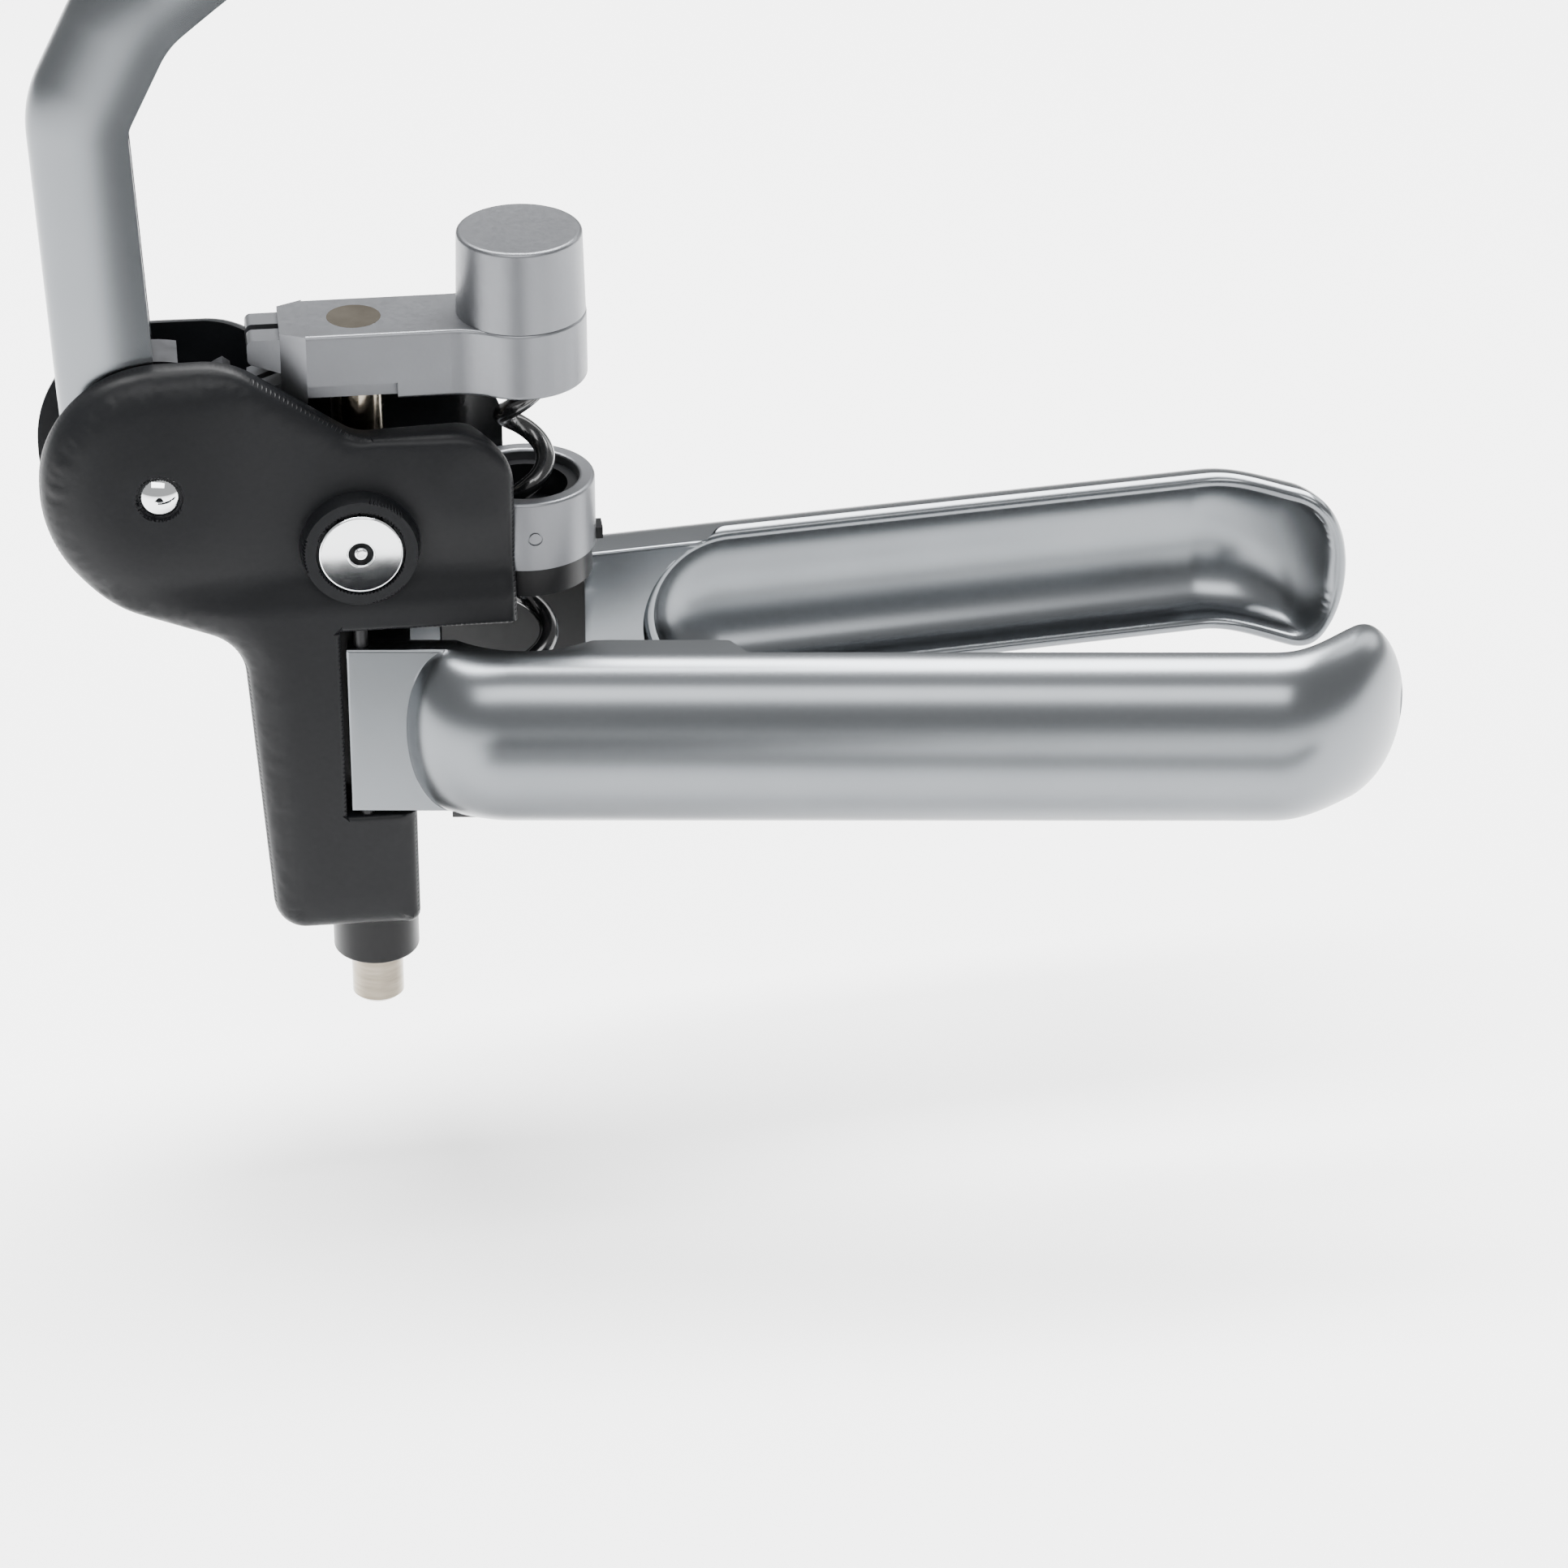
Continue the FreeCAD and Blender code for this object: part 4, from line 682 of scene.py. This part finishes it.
def cover_spots(line, circles):
    """The outline, rings just inside it, rings round each feature, and an even field between."""
    ends = line[:, :2]
    starts = np.roll(ends, 1, axis=0)
    along = ends - starts
    along /= np.linalg.norm(along, axis=1)[:, None]
    inward = np.stack([-along[:, 1], along[:, 0]], axis=1)
    rings = [(starts + ends) / 2 + inward * depth for depth in EDGE_RINGS]
    near = np.concatenate(rings)
    gaps, _ = nearest_on_edge(near, starts, ends)
    wanted = np.repeat(EDGE_RINGS, len(line))
    near = near[(gaps > RING_ROOM_SHARE * wanted) & inside_outline(near, line)]
    low, high = ends.min(0), ends.max(0)
    columns = np.arange(low[0], high[0], FACE_STEP)
    rows = np.arange(low[1], high[1], FACE_STEP * math.sqrt(0.75))
    field = np.array([(x + (k % 2) * FACE_STEP / 2, z) for k, z in enumerate(rows) for x in columns])
    field = field[inside_outline(field, line)]
    gaps, _ = nearest_on_edge(field, starts, ends)
    field = field[gaps > EDGE_RINGS[-1] + FIELD_ROOM]
    round_features = []
    for place, radius in circles:
        away = np.abs(np.linalg.norm(field - np.array(place), axis=1) - radius)
        field = field[away > FIELD_ROOM]
        round_features.append(ring_of(place, radius, CIRCLE_STEP))
    return np.concatenate([ends, near, *round_features, field])


def fall_at(spots, line, owners):
    """How far the face has fallen at each spot, from the edge that pulls it down most."""
    ends = line[:, :2]
    starts = np.roll(ends, 1, axis=0)
    fall = np.zeros(len(spots))
    for owner in range(len(COVER_CORNERS)):
        own = owners == owner
        gaps, nearest = nearest_on_edge(spots, starts[own], ends[own])
        depth, width = line[own][nearest, 2], line[own][nearest, 3]
        share = np.clip(1 - gaps / width, 0, 1)
        fall = np.maximum(fall, depth * (1 - np.sqrt(1 - share**2)))
    return fall


def settle(values, triangles, free, rounds):
    """Values at the corners of a mesh, each drawn towards the mean of its neighbours."""
    links = np.concatenate([triangles[:, [0, 1]], triangles[:, [1, 2]], triangles[:, [2, 0]]])
    links = np.concatenate([links, links[:, ::-1]])
    counts = np.bincount(links[:, 0], minlength=len(values))
    for _ in range(rounds):
        sums = np.bincount(links[:, 0], weights=values[links[:, 1]], minlength=len(values))
        values = np.where(free, values + 0.5 * (sums / np.maximum(counts, 1) - values), values)
    return values


def eased(share):
    """A share that leaves nought and reaches one gently."""
    share = np.clip(share, 0, 1)
    return share * share * (3 - 2 * share)


def cover_shape(line, owners, side):
    """The face's spots and triangles, with how far out its front and back lie at each spot."""
    screws = SCREW_PLACES if side > 0 else []
    circles = [(DISC_PLACE, DISC_RECESS_RADIUS + gap) for gap in RECESS_RINGS]
    circles += [(DISC_PLACE, BOSS_RADIUS - gap) for gap in BOSS_RINGS]
    circles += [(DOME_PLACE, DOME_RECESS_RADIUS + gap) for gap in RECESS_RINGS]
    circles += [(place, SCREW_RECESS_RADIUS + gap) for place in screws for gap in SCREW_RINGS]
    spots = cover_spots(line, circles)
    corners = [Vector(spot) for spot in spots]
    border = list(range(len(line)))
    found, _, triangles, *_ = delaunay_2d_cdt(corners, [], [border], INSIDE_ONLY, MERGE_DISTANCE)
    spots = np.array([tuple(spot) for spot in found])
    triangles = np.array([tuple(face) for face in triangles])
    gaps, _ = nearest_on_edge(spots, np.roll(line[:, :2], 1, axis=0), line[:, :2])
    fall = settle(fall_at(spots, line, owners), triangles, gaps > SMOOTHED_FROM, SMOOTHING_ROUNDS)
    from_lobe = np.linalg.norm(spots - np.array(LOBE_PLACE), axis=1) - LOBE_FLAT_RADIUS
    from_nose = np.linalg.norm(spots - np.array(NOSE_PLACE), axis=1) - NOSE_FLAT_RADIUS
    lobe = 1 - eased(from_lobe / (LOBE_RADIUS - LOBE_FLAT_RADIUS))
    nose = 1 - eased(from_nose / (NOSE_RADIUS - NOSE_FLAT_RADIUS))
    dip = FACE_DIP * (1 - np.maximum(lobe, NOSE_SHARE * nose))
    face = COVER_OUTER - dip * eased((spots[:, 1] - DIP_FOOT) / DIP_RISE) - fall
    from_disc = np.linalg.norm(spots - np.array(DISC_PLACE), axis=1)
    boss_face = COVER_OUTER + BOSS_RISE - np.where(from_disc < DISC_RECESS_RADIUS, DISC_RECESS_DEPTH, 0)
    face += (boss_face - face) * eased((BOSS_RADIUS - from_disc) / BOSS_FALL)
    from_dome = np.linalg.norm(spots - np.array(DOME_PLACE), axis=1)
    face -= np.where(from_dome < DOME_RECESS_RADIUS, DOME_RECESS_DEPTH, 0)
    for place in screws:
        away = np.linalg.norm(spots - np.array(place), axis=1)
        face = np.where(away < SCREW_RECESS_RADIUS, COVER_OUTER - SCREW_RECESS_DEPTH, face)
    hollow = np.sqrt(np.maximum(RING_HOLLOW_RADIUS**2 - spots[:, 0] ** 2, 0))
    hollow = np.where(spots[:, 1] > NOTCH_TOP - WELD, hollow, 0)
    back = np.minimum(np.maximum(hollow, COVER_INNER), face - LEAST_WALL)
    return spots, triangles, face, back


def make_cover(name, side, node):
    """A cover: its face, its back and the walls that join them along every open edge."""
    line, owners = outline_of(COVER_CORNERS, OUTLINE_STEP)
    spots, triangles, face, back = cover_shape(line, owners, side)
    count = len(spots)
    points = [(x, side * y, z) for (x, z), y in zip(spots, face)]
    points += [(x, side * y, z) for (x, z), y in zip(spots, back)]
    faces = [tuple(triangle) for triangle in triangles.tolist()]
    runs = {}
    for a, b, c in faces:
        for start, end in ((a, b), (b, c), (c, a)):
            runs[(start, end)] = (end, start) in runs
            if runs[(start, end)]:
                runs[(end, start)] = True
    walls = [(a, b, b + count, a + count) for (a, b), shared in runs.items() if not shared]
    faces += [(a + count, c + count, b + count) for a, b, c in triangles.tolist()] + walls
    return make_piece(name, points, faces, "frame_unit", "cover_plastic", [node])


# Grips: pressed bowls on flat roots, worked out in the near grip's own frame, where its pin's
# axis is Z, +X runs to the tip and -Y is outside

GRIP_PIN = (-24.2, -10.6)
GRIP_YAW = math.radians(6.8)
GRIP_HALF_HEIGHT = 13.0
GRIP_LENGTH = 146.8
GRIP_WALL = 2.3
PLATE_HALF_THICKNESS = 1.7
PLATE_TAIL = 2.1
PLATE_BEVEL = 0.45
RIM_OFFSET = 1.2
RIM_ROUNDING = 1.15
BULGE_START = 6.0
BULGE_START_BOW = 6.2
BULGE_START_LENGTH = 14.0
BULGE_DEPTH = 9.8
BULGE_FILLET = 0.7
ARCH_CENTRE = 55.5
TIP_LENGTH = 19.6
TIP_ROUNDING = 7.6
TIP_BEND = 10.0
TIP_BEND_SHARE = 0.83
TIP_BEND_POWER = 1.3
TIP_POWER = 0.7
TIP_BLEND = 4.0
BOWL_POWER = 2.1
RIM_POWER = 2.6
RIM_STEP = 0.5
# The worm's axis in the grip's frame, and the round cut about it that keeps the grip clear
AXIS_IN_GRIP = (22.8, 13.39)
CLEAR_RADIUS = 15.4
CLEAR_REACH = 12.0
# How the mesh's columns bow: ahead of the bulge's start, back to straight, and towards the arch
BOW_LEAD = 9.0
BOW_RISE = 8.0
BOW_HOLD = 3.0
BOW_FADE = 18.0
ARCH_BOW_START = 26.0
# Behind its start the bulge lets go of the flat root over this stretch
BULGE_JOIN = 20.0
BULGE_JOIN_FADE = 10.0
# Stretches with close columns, and the steps between columns, from one end to the other
START_LEAD = 1.0
START_RUN = 1.6
ARCH_LEAD = 14.0
ARCH_EDGE_RUN = 4.5
TAIL_STEP = 0.08
ROOT_STEP = 1.2
START_STEP = 0.12
SWELL_STEP = 0.5
ARCH_EDGE_STEP = 0.15
ARCH_STEP = 0.6
LONG_STEP = 2.0
TIP_STEP = 0.5
TIP_COLUMNS = 30
GRIP_ROWS = 96


def stepped(start, end, step):
    """Evenly spaced places from a start up to, but without, an end."""
    return np.linspace(start, end, max(2, round((end - start) / step) + 1))[:-1]


def grip_columns():
    """Where the grip's mesh is divided along it: close where the shape turns quickly."""
    bevel_end = -PLATE_TAIL + PLATE_BEVEL
    swell_end = BULGE_START + BULGE_START_LENGTH
    arch_start = ARCH_CENTRE - ARCH_LEAD
    arch_edge_end = arch_start + ARCH_EDGE_RUN
    tip_start = GRIP_LENGTH - TIP_LENGTH
    tip = GRIP_LENGTH - TIP_ROUNDING
    runs = [
        stepped(-PLATE_TAIL, bevel_end, TAIL_STEP),
        stepped(bevel_end, BULGE_START - START_LEAD, ROOT_STEP),
        stepped(BULGE_START - START_LEAD, BULGE_START + START_RUN, START_STEP),
        stepped(BULGE_START + START_RUN, swell_end, SWELL_STEP),
        stepped(swell_end, arch_start, ROOT_STEP),
        stepped(arch_start, arch_edge_end, ARCH_EDGE_STEP),
        stepped(arch_edge_end, ARCH_CENTRE, ARCH_STEP),
        stepped(ARCH_CENTRE, tip_start, LONG_STEP),
        stepped(tip_start, tip, TIP_STEP),
        tip + TIP_ROUNDING * np.sin(np.linspace(0, math.pi / 2, TIP_COLUMNS)),
    ]
    return np.concatenate(runs)


def bowed(columns, cosine):
    """The columns' places along the grip on one row: bowed to follow its two round starts."""
    from_start = columns - BULGE_START
    bow = eased((from_start + BOW_LEAD) / BOW_RISE) * (1 - eased((from_start - BOW_HOLD) / BOW_FADE))
    places = columns + BULGE_START_BOW * (1 - cosine) * bow
    arch = ARCH_CENTRE - GRIP_HALF_HEIGHT
    reach = np.clip((columns - ARCH_BOW_START) / (arch - ARCH_BOW_START), 0, 1)
    before = GRIP_HALF_HEIGHT * (1 - cosine) * reach
    within = (ARCH_CENTRE - columns) * (1 - cosine)
    shift = np.where(columns < arch, before, np.where(columns < ARCH_CENTRE, within, 0))
    return places + shift


def tip_share(x, wall):
    """How far a place lies into the tip, from nought to one."""
    return np.clip((x - (GRIP_LENGTH - TIP_LENGTH)) / (TIP_LENGTH - wall), 0, 1)


def tip_half_height(x, wall):
    """Half the grip's height, which closes over the last stretch of the tip."""
    left = np.clip((GRIP_LENGTH - wall - x) / (TIP_ROUNDING - wall), 0, 1)
    return (GRIP_HALF_HEIGHT - wall) * np.sqrt(1 - (1 - left) ** 2)


def rim_line(x):
    """Where the rim's plane lies, which bends inwards at the tip."""
    return -RIM_OFFSET + TIP_BEND * eased(tip_share(x, 0) / TIP_BEND_SHARE) ** TIP_BEND_POWER


def floor_line(x, wall):
    """The deepest line of the bowl's outside, or of its inside when a wall is taken off."""
    deep = BULGE_DEPTH - wall + TIP_BEND
    return -RIM_OFFSET + TIP_BEND - deep * (1 - tip_share(x, wall) ** 2) ** TIP_POWER


def bowl(share):
    """A bowl's depth across it, from one on its middle line to nought at its edge."""
    return (1 - np.clip(np.abs(share), 0, 1) ** BOWL_POWER) ** (1 / BOWL_POWER)


def bevelled(distance):
    """How much a bevelled edge has fallen at a distance from it."""
    inset = np.clip(PLATE_BEVEL - distance, 0, PLATE_BEVEL)
    return PLATE_BEVEL - np.sqrt(PLATE_BEVEL**2 - inset**2)


def plate_face(x, z):
    """The flat root's face, with its bevelled edges."""
    edge = np.minimum(GRIP_HALF_HEIGHT - np.abs(z), x + PLATE_TAIL)
    return PLATE_HALF_THICKNESS - bevelled(edge)


def outer_face(x, z, columns):
    """The grip's outside: the flat root, from which the bowl swells behind a round start."""
    run = np.clip((columns - BULGE_START) / BULGE_START_LENGTH, 0, 1)
    swell = np.sqrt(1 - (1 - run) ** 2)
    edge = rim_line(x) - RIM_ROUNDING
    half = np.maximum(tip_half_height(x, 0), TINY)
    depth = np.maximum(edge - floor_line(x, 0), 0)
    swollen = swell * (depth * bowl(z / half) - edge)
    root = plate_face(x, z)
    mix = np.clip(0.5 + (swollen - root) / (2 * BULGE_FILLET), 0, 1)
    joined = root + (swollen - root) * mix + BULGE_FILLET * mix * (1 - mix)
    fade = np.clip((x - BULGE_START - BULGE_JOIN) / BULGE_JOIN_FADE, 0, 1)
    return -(joined + (swollen - joined) * fade)


def inner_face(x, z):
    """The grip's inside: the flat root, a step down to the rounded rim, and the hollow."""
    tip = GRIP_LENGTH - TIP_ROUNDING
    from_arch = GRIP_HALF_HEIGHT - np.hypot(x - ARCH_CENTRE, z)
    beyond = np.maximum(x - tip, 0)
    level = np.maximum(np.hypot(beyond / TIP_ROUNDING, z / GRIP_HALF_HEIGHT), TINY)
    from_tip = np.hypot(beyond, z) * (1 / level - 1)
    edge = np.where(x < ARCH_CENTRE, from_arch, np.where(x > tip, from_tip, GRIP_HALF_HEIGHT - np.abs(z)))
    rim = rim_line(x)
    bump = np.abs(np.clip(edge / RIM_ROUNDING - 1, -1, 1)) ** RIM_POWER
    rounded_rim = rim - RIM_ROUNDING * bump
    across = (GRIP_HALF_HEIGHT - np.maximum(edge, GRIP_WALL)) / (GRIP_HALF_HEIGHT - GRIP_WALL)
    tip_across = np.abs(z) / np.maximum(tip_half_height(x, GRIP_WALL), TINY)
    tip_across = np.maximum(tip_across, np.where(edge <= GRIP_WALL, 1, 0))
    across = np.where(x > tip - TIP_BLEND, tip_across, across)
    floor = np.minimum(floor_line(x, GRIP_WALL), rim - RIM_ROUNDING)
    hollow = rim - RIM_ROUNDING - (rim - RIM_ROUNDING - floor) * bowl(across)
    trough = np.where(edge < GRIP_WALL, rounded_rim, hollow)
    trough = np.where(x > GRIP_LENGTH - GRIP_WALL, np.where(edge < GRIP_WALL, rounded_rim, rim), trough)
    plate = eased(-edge / RIM_STEP)
    face = trough + (plate_face(x, z) - trough) * plate
    from_axis = x - AXIS_IN_GRIP[0]
    cut = AXIS_IN_GRIP[1] - np.sqrt(np.maximum(CLEAR_RADIUS**2 - from_axis**2, 0))
    return np.where(np.abs(from_axis) < CLEAR_REACH, np.minimum(face, cut), face)


def make_grip(name, side, body, node):
    """A grip: its outside and inside as sheets of rows, joined along the rims and the root's end."""
    columns = grip_columns()
    angles = np.linspace(-math.pi / 2, math.pi / 2, GRIP_ROWS + 1)
    outer, inner = [], []
    for angle in angles:
        x = bowed(columns, max(math.cos(angle), 0))
        z = tip_half_height(x, 0) * math.sin(angle)
        outer.append(np.stack([x, outer_face(x, z, columns), z], axis=1))
        inner.append(np.stack([x, inner_face(x, z), z], axis=1))
    outer[0][:, 1] = np.minimum(outer[0][:, 1], inner[0][:, 1])
    outer[-1][:, 1] = np.minimum(outer[-1][:, 1], inner[-1][:, 1])
    sheets = np.concatenate([np.array(outer).reshape(-1, 3), np.array(inner).reshape(-1, 3)])
    cosine, sine = math.cos(GRIP_YAW), math.sin(GRIP_YAW)
    x = GRIP_PIN[0] + sheets[:, 0] * cosine + sheets[:, 1] * sine
    y = GRIP_PIN[1] - sheets[:, 0] * sine + sheets[:, 1] * cosine
    points = np.stack([x, -side * y, sheets[:, 2]], axis=1).tolist()
    width = len(columns)
    total = width * len(angles)
    faces = []
    for row in range(len(angles) - 1):
        for column in range(width - 1):
            corner = row * width + column
            quad = (corner, corner + 1, corner + width + 1, corner + width)
            faces += [quad, tuple(total + index for index in reversed(quad))]
    for row in (0, len(angles) - 1):
        for column in range(width - 1):
            corner = row * width + column
            faces.append((corner, total + corner, total + corner + 1, corner + 1))
    for row in range(len(angles) - 1):
        corner = row * width
        faces.append((corner, corner + width, total + corner + width, total + corner))
    return make_piece(name, points, faces, body, "pearl_silver", [node])


# Lever: a rounded channel bent twice, open on the worm's side, with a swollen handle

LEVER_START = (-50.1, 40.0)
LEVER_ANGLES = (92.8, 63.4, 39.5)
LEVER_LENGTHS = (50.0, 13.3, 118.0)
LEVER_BENDS = (5.0, 12.0)
LEVER_WALL = 1.8
LEVER_HALF_WIDTH = 6.2
LEVER_DEPTH = 13.7
HANDLE_HALF_WIDTH = 10.0
HANDLE_DEPTH = 14.0
HANDLE_SWELL = 45.0
HANDLE_END = 12.0
HANDLE_END_POWER = 0.6
CHANNEL_POWER = 2.3
CHANNEL_STEPS = 48
RUN_STATIONS = 14
BEND_STATIONS = 13
HANDLE_STATIONS = 40
END_STATIONS = 24
# Cheeks beside the toothed sector: the near one is a little thinner than the far one
CHEEK_RADIUS = 12.3
CHEEK_INNER = 3.6
NEAR_CHEEK_OUTER = 5.6
CHEEK_EDGE = 0.3
CHEEK_STEPS = 72


def heading(degrees):
    """The unit vector at an angle, back to front and upwards."""
    return np.array([math.cos(math.radians(degrees)), math.sin(math.radians(degrees))])


def channel_stations(wall):
    """Each station's place on the open side, its heading, and its half width and depth."""
    place = np.array(LEVER_START)
    stations = []
    bent = 0.0
    for length, radius, angle, after in zip(LEVER_LENGTHS, LEVER_BENDS, LEVER_ANGLES, LEVER_ANGLES[1:]):
        tangent = radius * math.tan(math.radians(angle - after) / 2)
        for share in np.linspace(0, 1, RUN_STATIONS):
            spot = place + heading(angle) * (length - bent - tangent) * share
            stations.append((spot, angle, LEVER_HALF_WIDTH, LEVER_DEPTH, 1.0))
        centre = stations[-1][0] + heading(angle - 90) * radius
        for share in np.linspace(0, 1, BEND_STATIONS)[1:]:
            turned = angle - (angle - after) * share
            spot = centre + heading(turned + 90) * radius
            stations.append((spot, turned, LEVER_HALF_WIDTH, LEVER_DEPTH, 1.0))
        place = stations[-1][0]
        bent = tangent
    end = HANDLE_END - wall
    straight = LEVER_LENGTHS[-1] - bent - wall - end
    reaches = [(distance, 1.0) for distance in np.linspace(0, straight, HANDLE_STATIONS)[1:]]
    for turn in np.linspace(0, math.pi / 2, END_STATIONS)[1:]:
        reaches.append((straight + end * math.sin(turn), max(math.cos(turn), 0.0)))
    for distance, size in reaches:
        grown = float(eased(distance / HANDLE_SWELL))
        wide = LEVER_HALF_WIDTH + (HANDLE_HALF_WIDTH - LEVER_HALF_WIDTH) * grown
        deep = LEVER_DEPTH + (HANDLE_DEPTH - LEVER_DEPTH) * grown
        stations.append((place + heading(LEVER_ANGLES[-1]) * distance, LEVER_ANGLES[-1], wide, deep, size))
    return stations


def channel_sheet(wall):
    """A channel's surface as rows of points, one for each station."""
    rows = []
    turns = np.linspace(-math.pi / 2, math.pi / 2, CHANNEL_STEPS + 1)
    sines, cosines = np.sin(turns), np.clip(np.cos(turns), 0, 1)
    for spot, angle, wide, deep, size in channel_stations(wall):
        wide = (wide - wall) * size**HANDLE_END_POWER
        deep = (deep - wall) * size
        across = wide * np.sign(sines) * np.abs(sines) ** (2 / CHANNEL_POWER)
        out = deep * cosines ** (2 / CHANNEL_POWER)
        outward = heading(angle + 90)
        rows.append(np.stack([spot[0] + outward[0] * out, across, spot[1] + outward[1] * out], axis=1))
    return np.array(rows)


def cheek(low, high, start):
    """A round plate beside the toothed sector, between two distances from the middle."""
    places = [(low, CHEEK_RADIUS), (high - CHEEK_EDGE, CHEEK_RADIUS), (high, CHEEK_RADIUS - CHEEK_EDGE)]
    points = [(DOME_PLACE[0], low, DOME_PLACE[1]), (DOME_PLACE[0], high, DOME_PLACE[1])]
    for y, radius in places:
        circle = ring_of(DOME_PLACE, radius, 2 * math.pi * radius / CHEEK_STEPS)[:CHEEK_STEPS]
        points += [(x, y, z) for x, z in circle]
    faces = []
    for step in range(CHEEK_STEPS):
        after = (step + 1) % CHEEK_STEPS
        rings = [start + 2 + CHEEK_STEPS * number for number in range(3)]
        faces.append((start, rings[0] + step, rings[0] + after))
        faces.append((start + 1, rings[2] + after, rings[2] + step))
        for first, second in zip(rings, rings[1:]):
            faces.append((first + step, second + step, second + after, first + after))
    return points, faces


def make_lever():
    """The lever: its channel's outside and inside joined along every open edge, and two cheeks."""
    outer, inner = channel_sheet(0), channel_sheet(LEVER_WALL)
    count, width = outer.shape[0], outer.shape[1]
    total = count * width
    points = [*map(tuple, outer.reshape(-1, 3)), *map(tuple, inner.reshape(-1, 3))]
    faces = []
    for row in range(count - 1):
        for step in range(width - 1):
            corner = row * width + step
            quad = (corner, corner + 1, corner + width + 1, corner + width)
            faces += [quad, tuple(total + index for index in reversed(quad))]
        for corner in (row * width, row * width + width - 1):
            faces.append((corner, corner + width, total + corner + width, total + corner))
    for step in range(width - 1):
        faces.append((step, total + step, total + step + 1, step + 1))
    for low, high in ((CHEEK_INNER, LEVER_HALF_WIDTH), (-CHEEK_INNER, -NEAR_CHEEK_OUTER)):
        more, sides = cheek(low, high, len(points))
        points += more
        faces += sides
    return make_piece("lever_channel", points, faces, "lever_unit", "pearl_silver", ["lever"])


finish_cad_nodes()
make_lever()
make_cover("near_cover_shell", -1, "near_cover")
make_cover("far_cover_shell", 1, "far_cover")
make_grip("near_grip_bowl", -1, "near_grip_unit", "near_grip")
make_grip("far_grip_bowl", 1, "far_grip_unit", "far_grip")
lay_floor()
light_studio()
